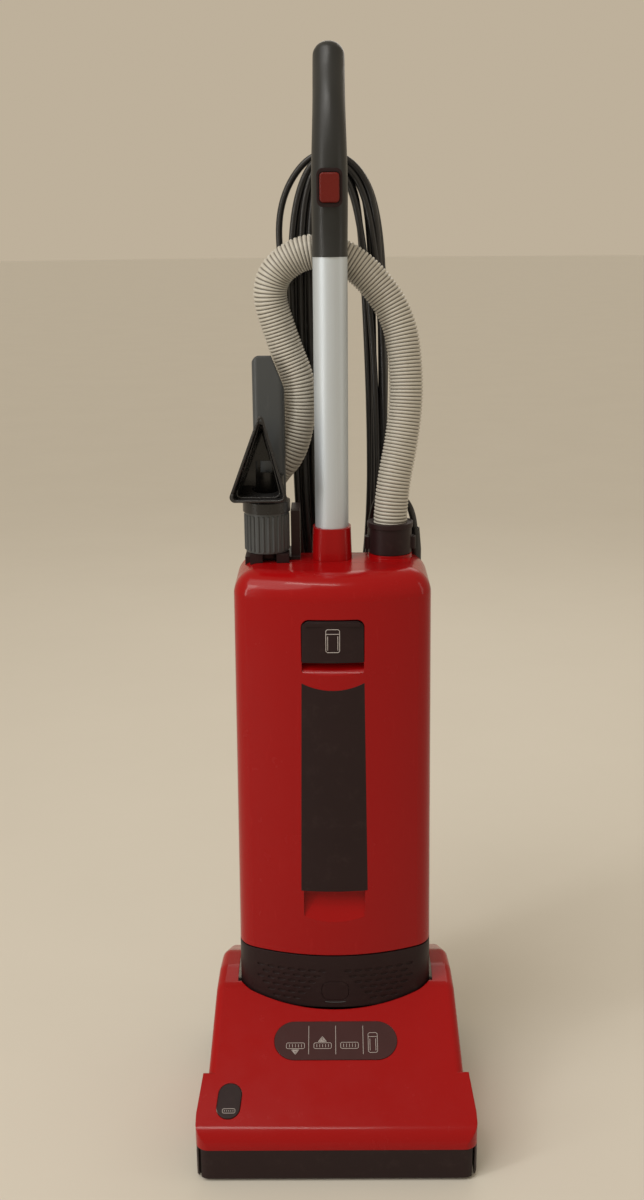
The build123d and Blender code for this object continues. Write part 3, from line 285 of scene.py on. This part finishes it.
def grip_grey():
    """Darker slate of the handle grip."""
    s = Shader("grip_grey").set(IOR=1.45, Specular_IOR_Level=0.35)
    s.round_edges(0.0010)
    s.colour(s.mix(s.noise(12.0, 3.0), (0.026, 0.027, 0.027), (0.020, 0.021, 0.021)))
    s.roughness(s.noise(30.0, 4.0), 0.28, 0.42)
    s.bump(s.voronoi(2600.0), 0.08, 0.0003)
    return s.material


def rocker_red():
    """Translucent-looking darker red of the power rocker."""
    s = Shader("rocker_red").set(IOR=1.45, Specular_IOR_Level=0.3)
    s.round_edges(0.0020)
    s.colour(s.mix(s.noise(30.0, 3.0), (0.15, 0.012, 0.008), (0.11, 0.008, 0.006)))
    s.roughness(s.noise(40.0, 3.0), 0.22, 0.34)
    s.bump(s.noise(600.0, 2.0), 0.05, 0.0003)
    return s.material


def nozzle_black():
    """Near-black gloss of the upholstery nozzle."""
    s = Shader("nozzle_black").set(IOR=1.5)
    s.round_edges(0.0008)
    s.colour(s.mix(s.noise(40.0, 4.0), (0.011, 0.011, 0.012), (0.020, 0.019, 0.019)))
    s.roughness(s.noise(50.0, 4.0), 0.20, 0.36)
    s.bump(s.noise(700.0, 2.0), 0.05, 0.0004)
    return s.material


def lens_dark():
    """Smoke-tinted gloss window over the indicator lamps."""
    s = Shader("lens_dark").set(IOR=1.45, Specular_IOR_Level=0.3, Coat_Weight=0.15, Coat_Roughness=0.05)
    s.round_edges(0.0010)
    s.colour(s.mix(s.noise(20.0, 2.0), (0.052, 0.018, 0.020), (0.040, 0.014, 0.016)))
    s.roughness(s.noise(60.0, 5.0, 0.7), 0.12, 0.24)
    s.bump(s.noise(15.0, 1.0), 0.04, 0.0008)
    return s.material


def board_green():
    """Circuit board laminate with a faint glass weave."""
    s = Shader("board_green")
    s.colour(s.mix(s.noise(350.0, 2.0), (0.012, 0.10, 0.035), (0.02, 0.15, 0.05)))
    s.roughness(s.noise(90.0, 3.0), 0.30, 0.45)
    s.bump(s.voronoi(900.0), 0.15, 0.0002)
    return s.material


def satin_tube():
    """Satin-anodised aluminium tube, drawn lengthwise."""
    s = Shader("satin_tube").set(Metallic=0.55, IOR=1.45)
    lines = s.noise(1500.0, 3.0, 0.6, stretch=(1.0, 1.0, 0.004))
    s.colour(s.mix(lines, (0.54, 0.60, 0.66), (0.62, 0.68, 0.74)))
    s.roughness(s.noise(25.0, 4.0, 0.6, stretch=(1.0, 1.0, 0.3)), 0.42, 0.54)
    s.bump(lines, 0.06, 0.0002)
    return s.material


def steel():
    """Turned and pressed steel."""
    s = Shader("steel").set(Metallic=1.0)
    s.colour(s.mix(s.noise(80.0, 4.0), (0.42, 0.42, 0.43), (0.56, 0.56, 0.57)))
    s.roughness(s.noise(120.0, 4.0), 0.25, 0.42)
    s.bump(s.noise(900.0, 2.0, stretch=(1.0, 0.1, 0.1)), 0.08, 0.0002)
    return s.material


def motor_metal():
    """Painted motor casing."""
    s = Shader("motor_metal").set(Metallic=0.4)
    s.colour(s.mix(s.noise(50.0, 4.0), (0.11, 0.11, 0.12), (0.17, 0.17, 0.18)))
    s.roughness(s.noise(70.0, 4.0), 0.38, 0.55)
    s.bump(s.noise(600.0, 2.0), 0.12, 0.0003)
    return s.material


def hose_grey():
    """Warm light grey vinyl; the hollows between the ribs are darkened with painted shade."""
    s = Shader("hose_grey").set(IOR=1.46)
    crest = s.mix(s.noise(18.0, 4.0), (0.46, 0.44, 0.39), (0.56, 0.54, 0.48))
    stain = s.ramp(s.noise(90.0, 5.0, 0.7), [(0.52, 0.0), (0.80, 0.45)])
    worn = s.mix(stain, crest, (0.34, 0.32, 0.26))
    # painted shade: the groove attribute darkens the hollows between the ribs towards a dark brown
    s.colour(s.mix(s.attribute("groove_shade"), worn, (0.060, 0.045, 0.032)))
    s.roughness(s.noise(60.0, 4.0), 0.36, 0.52)
    s.bump(s.noise(800.0, 2.0), 0.08, 0.0003)
    return s.material


def cord_black():
    """Black vinyl cord sheath with a soft shine."""
    s = Shader("cord_black").set(IOR=1.5)
    s.colour(s.mix(s.noise(40.0, 4.0), (0.009, 0.009, 0.010), (0.018, 0.017, 0.017)))
    s.roughness(s.noise(55.0, 4.0), 0.26, 0.42)
    s.bump(s.noise(500.0, 2.0), 0.06, 0.0003)
    return s.material


def rubber_black():
    """Matte tyre and belt rubber, dusty in patches."""
    s = Shader("rubber_black").set(IOR=1.45)
    s.round_edges(0.0008)
    s.colour(s.mix(s.ramp(s.noise(45.0, 6.0, 0.7), [(0.45, 0.0), (0.8, 0.6)]), (0.014, 0.014, 0.014),
                   (0.06, 0.056, 0.05)))
    s.roughness(s.noise(70.0, 4.0), 0.62, 0.85)
    s.bump(s.noise(380.0, 4.0), 0.22, 0.0005)
    return s.material


def wheel_grey():
    """Grey nylon of the wheels, rollers and brush core."""
    s = Shader("wheel_grey")
    s.round_edges(0.0008)
    s.colour(s.mix(s.noise(30.0, 4.0), (0.050, 0.050, 0.053), (0.075, 0.075, 0.078)))
    s.roughness(s.noise(60.0, 4.0), 0.42, 0.60)
    s.bump(s.voronoi(1900.0), 0.12, 0.0003)
    return s.material


def bristle_black():
    """Nylon bristle with lighter worn tips."""
    s = Shader("bristle_black")
    s.colour(s.mix(s.noise(240.0, 3.0), (0.012, 0.012, 0.013), (0.05, 0.048, 0.045)))
    s.roughness(s.noise(200.0, 3.0), 0.40, 0.60)
    s.bump(s.noise(900.0, 2.0), 0.10, 0.0002)
    return s.material


def filter_white():
    """Needled filter felt, greyed by dust."""
    s = Shader("filter_white").set(Sheen_Weight=0.3, Sheen_Roughness=0.5)
    s.colour(s.mix(s.noise(45.0, 6.0, 0.7), (0.66, 0.65, 0.61), (0.42, 0.41, 0.38)))
    s.roughness(s.noise(150.0, 4.0), 0.85, 0.97)
    s.bump(s.noise(1100.0, 5.0, 0.8), 0.5, 0.0006)
    return s.material


def bag_paper():
    """Buff filter fleece of the dust bag, with long fibres and soft creases."""
    s = Shader("bag_paper").set(Sheen_Weight=0.25, Sheen_Roughness=0.6)
    fibre = s.noise(420.0, 5.0, 0.75, stretch=(1.0, 1.0, 0.35))
    s.colour(s.mix(fibre, (0.50, 0.43, 0.29), (0.66, 0.60, 0.45)))
    s.roughness(s.noise(90.0, 4.0), 0.80, 0.95)
    s.bump(fibre, 0.35, 0.0004)
    s.bump(s.noise(22.0, 4.0), 0.4, 0.0035)
    return s.material


def print_grey():
    """Pale printed line work on the lens, the latch and the release button."""
    s = Shader("print_grey")
    s.colour(s.mix(s.noise(160.0, 3.0), (0.50, 0.46, 0.45), (0.40, 0.36, 0.35)))
    s.roughness(s.noise(200.0, 2.0), 0.40, 0.55)
    s.bump(s.noise(1200.0, 2.0), 0.05, 0.0001)
    return s.material


def pale_floor():
    """Plain pale floor with the faintest mottling."""
    s = Shader("pale_floor")
    s.colour(s.mix(s.noise(3.0, 5.0), (0.590, 0.560, 0.498), (0.620, 0.590, 0.526)))
    s.roughness(s.noise(20.0, 3.0), 0.70, 0.82)
    s.bump(s.noise(260.0, 3.0), 0.05, 0.0006)
    return s.material


FINISHES = {build.__name__: build() for build in (
    red_gloss, dark_plastic, blue_grey_plastic, lens_dark, board_green, satin_tube, steel, motor_metal,
    hose_grey, cord_black, rubber_black, wheel_grey, bristle_black, filter_white, bag_paper)}
PRINT_GREY = print_grey()
OWN_FINISH = {"upholstery_nozzle": nozzle_black(), "handle_grip": grip_grey(), "power_switch": rocker_red()}


def dress_cad_nodes():
    """Every CAD node takes the procedural material of its own slot."""
    slots = {part["node"]: part["material_slot"] for part in frame["record"]["subparts"]}
    for name, node in nodes.items():
        material = OWN_FINISH.get(name, FINISHES[slots[name]])
        node.data.materials.clear()
        node.data.materials.append(material)


# ---------------------------------------------------------------- lines, tubes and rings

def nurbs(name, points, radius=0.0):
    """Smooth open curve through the air, with these control points, in metres."""
    data = bpy.data.curves.new(name, "CURVE")
    data.dimensions = "3D"
    data.resolution_u = 8
    data.bevel_depth = radius
    data.bevel_resolution = 4
    data.use_fill_caps = radius > 0
    spline = data.splines.new("NURBS")
    spline.points.add(len(points) - 1)
    for point, place in zip(spline.points, points):
        point.co = (*place, 1.0)
    spline.order_u = 3
    spline.use_endpoint_u = True
    curve = bpy.data.objects.new(name, data)
    bpy.context.scene.collection.objects.link(curve)
    return curve


def read_line(points, step):
    """Points evenly spaced along the NURBS line of these control points."""
    curve = nurbs("scratch_line", points)
    curve.data.resolution_u = 24
    bpy.context.view_layer.update()
    mesh = bpy.data.meshes.new_from_object(curve.evaluated_get(bpy.context.evaluated_depsgraph_get()))
    line = np.array([v.co for v in mesh.vertices], float)
    bpy.data.objects.remove(curve)
    bpy.data.meshes.remove(mesh)
    run = np.concatenate([[0.0], np.cumsum(np.linalg.norm(np.diff(line, axis=0), axis=1))])
    count = max(2, round(run[-1] / step))
    at = np.linspace(0.0, run[-1], count + 1)
    return np.column_stack([np.interp(at, run, line[:, axis]) for axis in range(3)])


def frames_along(line):
    """Tangent and two cross directions at each point, without twist."""
    tangents = np.gradient(line, axis=0)
    tangents /= np.linalg.norm(tangents, axis=1)[:, None]
    side = Vector(tangents[0]).orthogonal().normalized()
    sides, ups = [], []
    for direction in tangents:
        along = Vector(direction)
        side = (side - along * side.dot(along)).normalized()
        sides.append(np.array(side))
        ups.append(np.array(along.cross(side)))
    return tangents, np.array(sides), np.array(ups)


def swept(name, line, radii, segments, groove_shade_mask=None):
    """Round tube along a line with a radius at each point, closed at both ends."""
    _, sides, ups = frames_along(line)
    turn = np.linspace(0.0, math.tau, segments, endpoint=False)
    ring = np.cos(turn)[None, :, None] * sides[:, None, :] + np.sin(turn)[None, :, None] * ups[:, None, :]
    verts = (line[:, None, :] + ring * np.asarray(radii)[:, None, None]).reshape(-1, 3)
    faces = []
    for row in range(len(line) - 1):
        for i in range(segments):
            j = (i + 1) % segments
            low, high = row * segments, (row + 1) * segments
            faces.append((low + i, low + j, high + j, high + i))
    faces.append(tuple(reversed(range(segments))))
    faces.append(tuple(range((len(line) - 1) * segments, len(line) * segments)))
    piece = new_mesh(name, verts, faces)
    # optional weight of painted shade for each ring, kept as a point attribute
    if groove_shade_mask is not None:
        layer = piece.data.attributes.new("groove_shade", "FLOAT", "POINT")
        layer.data.foreach_set("value", np.repeat(np.asarray(groove_shade_mask, np.float32), segments))
    return piece


def finish_piece(piece, material, body):
    """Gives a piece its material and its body."""
    piece.data.materials.clear()
    piece.data.materials.append(material)
    if body:
        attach(piece, body)
    return piece


# ---------------------------------------------------------------- mains cord

CORD_RADIUS = 3.75 * MM
LEAD = [(96, 98, 654), (96, 99, 680), (88, 108, 706), (70, 122, 715), (54, 138, 706), (47, 147, 680),
        (46, 148, 656)]
TAIL = [(4, 147, 537), (3, 147, 522), (8, 149, 506), (10, 150, 492)]
TURNS = 8
# stations round one turn of the hank: inner strand, outer strand, as (x, z)
HANK_STATIONS = [
    ((43, 690), (65, 690)), ((35, 598), (57, 598)), ((25, 562), (40, 553)), ((12, 551), (12, 532)),
    ((-2, 561), (-18, 550)), ((-9, 600), (-36, 598)), ((-19, 690), (-43, 690)), ((-20, 820), (-44, 820)),
    ((-20, 905), (-46, 905)), ((-20, 990), (-47, 990)), ((-16, 1045), (-38, 1045)),
    ((-8, 1073), (-20, 1083)), ((5, 1076), (10, 1092)), ((20, 1056), (43, 1066)),
    ((28, 1010), (60, 1010)), ((37, 905), (65, 905)), ((42, 790), (66, 790))]
LAYERS = (142.2, 148.4, 154.6)
CELLS = [(0.1, 0), (0.5, 0), (0.9, 0), (0.7, 1), (0.3, 1), (0.1, 2), (0.5, 2), (0.9, 2)]
STRAY_TURN = 7                       # one slack turn that bows out at the upper left
STRAY = {9: 1.45, 10: 1.70, 11: 1.35}
CROSSING = 0.70                      # share of a turn after which it moves over to the next cell


def hank_turns():
    """Control points of the turns, each in its own cell, wound from the lead down the right side."""
    draw = random.Random(11)
    points = []
    for turn in range(TURNS):
        spread_here, layer_here = CELLS[turn]
        spread_next, layer_next = CELLS[(turn + 1) % TURNS]
        for index, (inner, outer) in enumerate(HANK_STATIONS):
            if turn == 0 and index == 0:
                continue
            share = max(0.0, index / len(HANK_STATIONS) - CROSSING) / (1.0 - CROSSING)
            if turn == TURNS - 1:
                share = 0.0
            blend = share * share * (3 - 2 * share)
            spread = spread_here + (spread_next - spread_here) * blend + draw.uniform(-0.03, 0.03)
            if turn == STRAY_TURN:
                spread = STRAY.get(index, spread)
            x = inner[0] + (outer[0] - inner[0]) * spread
            z = inner[1] + (outer[1] - inner[1]) * spread
            y = LAYERS[layer_here] + (LAYERS[layer_next] - LAYERS[layer_here]) * blend
            points.append((x, y + draw.uniform(-0.25, 0.25), z))
    return points


def make_cord():
    """The whole cord in one line: strain relief, hank over both hooks, then down to the plug."""
    last_half = [(56, 154, 690), (44, 152, 605), (28, 149, 566), (12, 147, 552)]
    route = LEAD + hank_turns() + last_half + TAIL
    route = [Vector(p) * MM for p in route]
    cord = nurbs("mains_cord", route, CORD_RADIUS)
    finish_piece(cord, FINISHES["cord_black"], "vacuum_body")
    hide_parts("cord_ends", "cord_hank")
    return cord


# ---------------------------------------------------------------- stretch hose

HOSE_ROUTE = [(66, 78, 674), (66, 78, 716), (82, 91, 793), (85, 97, 853), (75, 106, 921), (25, 110, 978),
              (-28, 110, 989), (-74, 114, 953), (-52, 118, 883), (-32, 118, 833), (-43, 118.5, 765),
              (-70, 126, 736), (-80, 129, 708), (-80, 129.3, 686)]
HOSE_RADIUS = 19.0 * MM
RIB_PITCH = 3.9 * MM
RIB_DEPTH = 2.0 * MM
RIB_PROFILE = (0.0, 0.72, 0.97, 1.0, 0.90)   # share of the rib's height at each ring of one pitch


def make_hose():
    """Ribbed stretch hose that follows the route's NURBS line."""
    points = [Vector(p) * MM for p in HOSE_ROUTE]
    line = read_line(points, RIB_PITCH / len(RIB_PROFILE))
    share = np.array([RIB_PROFILE[i % len(RIB_PROFILE)] for i in range(len(line))])
    radii = HOSE_RADIUS - RIB_DEPTH * (1.0 - share)
    # painted shade, deepest at the bottom of each hollow between the ribs
    hose = swept("stretch_hose", line, radii, 40, groove_shade_mask=(1.0 - share) ** 1.5)
    hose.data.materials.append(FINISHES["hose_grey"])
    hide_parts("hose")
    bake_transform(hose)
    path = [tuple(p) for p in line[::4]]
    return hose, path


# ---------------------------------------------------------------- printed line work

def surface_tree(*names):
    """Search tree over the CAD surfaces of these nodes, in the row frame."""
    verts, faces = [], []
    for name in names:
        node, first = nodes[name], len(verts)
        verts += [node.matrix_world @ v.co for v in node.data.vertices]
        faces += [[first + i for i in polygon.vertices] for polygon in node.data.polygons]
    return BVHTree.FromPolygons(verts, faces)


PRINT_STEP = 1.2           # mm between the places where a line is laid on its surface
RAY_HEIGHT = 40.0 * MM     # each ray starts this far above the surface
RAY_REACH = 120.0 * MM


def draped(tree, outlines, origin, across, rise, radius):
    """Thin lines laid on a surface: outlines are lists of (across, up) places in mm."""
    origin, across, rise = Vector(origin) * MM, Vector(across), Vector(rise)
    out = across.cross(rise)
    pieces = []
    for outline in outlines:
        places = []
        for (u0, v0), (u1, v1) in zip(outline, outline[1:]):
            steps = max(1, round(math.hypot(u1 - u0, v1 - v0) / PRINT_STEP))
            places += [(u0 + (u1 - u0) * i / steps, v0 + (v1 - v0) * i / steps) for i in range(steps)]
        places.append(outline[-1])
        line = []
        for u, v in places:
            start = origin + (across * u + rise * v) * MM + out * RAY_HEIGHT
            spot = tree.ray_cast(start, -out, RAY_REACH)[0]
            if spot is not None:
                line.append(np.array(spot))
        if len(line) > 2:
            pieces.append(swept("print_line", np.array(line), np.full(len(line), radius), 6))
    return pieces


def merged(name, parts):
    """One mesh from several pieces of the same material."""
    verts, faces = [], []
    for part in parts:
        first = len(verts)
        verts += [tuple(v.co) for v in part.data.vertices]
        faces += [[first + i for i in polygon.vertices] for polygon in part.data.polygons]
        bpy.data.objects.remove(part)
    return new_mesh(name, verts, faces)


def frame_line(u0, u1, v0, v1, cut=1.2):
    """Closed rectangle with cut corners."""
    return [(u0 + cut, v0), (u1 - cut, v0), (u1, v0 + cut), (u1, v1 - cut), (u1 - cut, v1), (u0 + cut, v1),
            (u0, v1 - cut), (u0, v0 + cut), (u0 + cut, v0)]


def brush_icon(u0, u1, v0, v1):
    """Roller outline with short bristle strokes."""
    strokes = [frame_line(u0, u1, v0, v1)]
    for i in range(1, 6):
        u = u0 + (u1 - u0) * i / 6
        strokes.append([(u, v0 + 1.6), (u, v1 - 1.6)])
    return strokes


def solid_arrow(u0, u1, base, tip):
    """Filled triangle drawn as nested strokes."""
    middle = (u0 + u1) / 2
    strokes = []
    for share in (1.0, 0.66, 0.33):
        low = middle + (u0 - middle) * share
        high = middle + (u1 - middle) * share
        inner = base + (tip - base) * (1 - share) * 0.35
        top = inner + (tip - base) * share
        strokes.append([(low, inner), (high, inner), (middle, top), (low, inner)])
    return strokes


def bag_icon(u0, u1, v0, v1):
    """Bag outline with a folded flap near its top."""
    fold = v1 - (v1 - v0) * 0.2
    return [frame_line(u0, u1, v0, v1, 1.6), [(u0, fold), (u1, fold)],
            [(u0 + 2, fold - 2.4), (u0 + 2, v0 + 2.4)], [(u1 - 2, fold - 2.4), (u1 - 2, v0 + 2.4)]]


DECK_CLIMB, DECK_RUN = 87.0, 163.0
DECK_SLOPE = math.atan2(DECK_CLIMB, DECK_RUN)
DECK_RISE = (0.0, math.cos(DECK_SLOPE), math.sin(DECK_SLOPE))
FRONT_EDGE_Y, NOSE_HEIGHT = -165.0, 56.0


def deck_point(x, y):
    """Point of the sloping deck above this place, in mm."""
    return (x, y, NOSE_HEIGHT + (y - FRONT_EDGE_Y) * math.tan(DECK_SLOPE))


def make_prints():
    """Generic pictograms on the indicator window, the latch and the release button."""
    across = (1.0, 0.0, 0.0)
    window = [[(u, 18), (u, -17)] for u in (-31, 0, 31.5)]
    window += brush_icon(-56.6, -35.8, -10, -3) + solid_arrow(-50.5, -42.3, -11.5, -17)
    window += brush_icon(-25, -5, -10, -3) + solid_arrow(-20, -10.6, -1.5, 4.7)
    window += brush_icon(5.7, 26, -10, -2.5) + bag_icon(37.4, 48, -15, 9.3)
    lines = draped(surface_tree("indicator_lens"), window, deck_point(0, -65), across, DECK_RISE, 0.32 * MM)
    finish_piece(merged("window_prints", lines), PRINT_GREY, "floor_head")
    lines = draped(surface_tree("door_latch"), bag_icon(-7.5, 7.5, -13, 13), (0, -29, 579), across,
                   (0.0, 0.0, 1.0), 0.4 * MM)
    finish_piece(merged("latch_print", lines), PRINT_GREY, "latch")
    lines = draped(surface_tree("roller_release_button"), brush_icon(-7, 7, -14, -9), deck_point(-119, -128),
                   across, DECK_RISE, 0.3 * MM)
    finish_piece(merged("button_print", lines), PRINT_GREY, "release_button")
    lines = draped(surface_tree("exhaust_filter_cover"), [[(-12, 0), (-6, -0.8), (6, -0.8), (12, 0)]],
                   (0, -29, 136.6), across, (0.0, 0.0, 1.0), 0.5 * MM)
    finish_piece(merged("band_lip", lines), FINISHES["blue_grey_plastic"], "vacuum_body")


LIP_CORNER = 9.0           # length of each rounded corner of the lips, in mm
LIP_CORNER_STEPS = 8
# mouth corners in the X-Z plane; a ring set in by some millimetres moves each corner by its own share
MOUTH_CORNERS = [((-114.0, 722.0), (1.9, 1.0)), ((-47.0, 722.0), (-1.9, 1.0)), ((-75.5, 824.0), (0.0, -2.9))]
LIPS = [(26.0, 1.6, 1.5), (33.0, 4.2, 1.0)]      # depth, set-in and radius


def make_nozzle_lips():
    """Rolled lip round the upholstery nozzle's mouth and a ledge inside it."""
    rings = []
    for depth, inset, radius in LIPS:
        corners = [Vector((x + dx * inset, depth, z + dz * inset)) for (x, z), (dx, dz) in MOUTH_CORNERS]
        line = []
        for i, corner in enumerate(corners):
            start = corner + (corners[i - 1] - corner).normalized() * LIP_CORNER
            end = corner + (corners[(i + 1) % 3] - corner).normalized() * LIP_CORNER
            for step in range(LIP_CORNER_STEPS + 1):
                t = step / LIP_CORNER_STEPS
                line.append(start * (1 - t) ** 2 + corner * 2 * t * (1 - t) + end * t ** 2)
        line.append(line[0])
        line = np.array(line) * MM
        rings.append(swept("lip", line, np.full(len(line), radius * MM), 8))
    finish_piece(merged("nozzle_lips", rings), OWN_FINISH["upholstery_nozzle"], "upholstery_tool")


# ---------------------------------------------------------------- brush tufts and dust bag

BRUSH_AXIS = Vector((0.0, -126.0, 31.0)) * MM
BRUSH_ROWS, TUFTS_PER_ROW, HAIRS_PER_TUFT = 4, 40, 9
HAIR_FACES = [(0, 1, 4, 3), (1, 2, 5, 4), (2, 0, 3, 5), (3, 4, 5), (2, 1, 0)]


def make_bristles():
    """Helical rows of nylon tufts on the brush roller."""
    draw = random.Random(5)
    verts, faces = [], []
    for row in range(BRUSH_ROWS):
        for tuft in range(TUFTS_PER_ROW):
            share = tuft / (TUFTS_PER_ROW - 1)
            x = (-110 + 196 * share) * MM
            turn = math.tau * row / BRUSH_ROWS + 1.1 * share
            for _ in range(HAIRS_PER_TUFT):
                lean, spread = draw.uniform(-0.05, 0.05), draw.uniform(-1.6, 1.6) * MM
                root = 15.4 * MM
                tip = draw.uniform(26.2, 27.8) * MM
                for radius, angle, half in ((root, turn, 0.30 * MM), (tip, turn + lean, 0.16 * MM)):
                    out = Vector((0.0, math.cos(angle), math.sin(angle)))
                    cross = Vector((0.0, -out.z, out.y))
                    centre = BRUSH_AXIS + out * radius + Vector((x + spread, 0.0, 0.0))
                    verts += [centre + cross * half, centre - cross * half * 0.5 + Vector((half, 0, 0)),
                              centre - cross * half * 0.5 - Vector((half, 0, 0))]
                first = len(verts) - 6
                faces += [tuple(first + i for i in corner) for corner in HAIR_FACES]
    piece = new_mesh("bristle_tufts", verts, faces, smooth=False)
    finish_piece(piece, FINISHES["bristle_black"], "brush_roller")
    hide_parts("brush_bristles")


BAG_SHRINK = 0.965
BAG_SWELL = 7.0 * MM


def make_dust_bag():
    """Paper bag puffed up by its own air: a cloth simulation started from a slightly smaller bag."""
    source = nodes["dust_bag"]
    bag = bpy.data.objects.new("filled_bag", source.data.copy())
    bag.matrix_world = source.matrix_world.copy()
    bpy.context.scene.collection.objects.link(bag)
    middle = sum((Vector(v.co) for v in bag.data.vertices), Vector()) / len(bag.data.vertices)
    for vertex in bag.data.vertices:
        vertex.co = middle + (vertex.co - middle) * BAG_SHRINK
    remesh = bag.modifiers.new("remesh", "REMESH")
    remesh.mode = "VOXEL"
    remesh.voxel_size = 5.0 * MM
    bpy.context.view_layer.update()
    even = bpy.data.meshes.new_from_object(bag.evaluated_get(bpy.context.evaluated_depsgraph_get()))
    bag.modifiers.clear()
    bag.data = even
    rest = np.array([v.co for v in even.vertices])
    cloth = bag.modifiers.new("cloth", "CLOTH")
    cloth.settings.use_pressure = True
    cloth.settings.uniform_pressure_force = 4.0
    cloth.settings.effector_weights.gravity = 0.0
    for frame_number in range(1, 21):
        bpy.context.scene.frame_set(frame_number)
    solved = bag.evaluated_get(bpy.context.evaluated_depsgraph_get())
    moved = np.array([v.co for v in solved.data.vertices]) - rest
    bag.modifiers.clear()
    length = np.maximum(np.linalg.norm(moved, axis=1), 1e-9)
    capped = rest + moved * (np.minimum(length, BAG_SWELL) / length)[:, None]
    even.vertices.foreach_set("co", capped.ravel())
    even.update()
    bpy.context.scene.frame_set(1)
    even.polygons.foreach_set("use_smooth", [True] * len(even.polygons))
    finer = bag.modifiers.new("finer", "SUBSURF")
    finer.levels = 1
    finer.render_levels = 1
    finish_piece(bag, FINISHES["bag_paper"], "vacuum_body")
    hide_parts("dust_bag")


make_camera()
make_lights()
make_floor(pale_floor())
cord_piece = make_cord()
hose_piece, hose_path = make_hose()
dress_cad_nodes()
make_prints()
make_nozzle_lips()
make_bristles()
make_dust_bag()
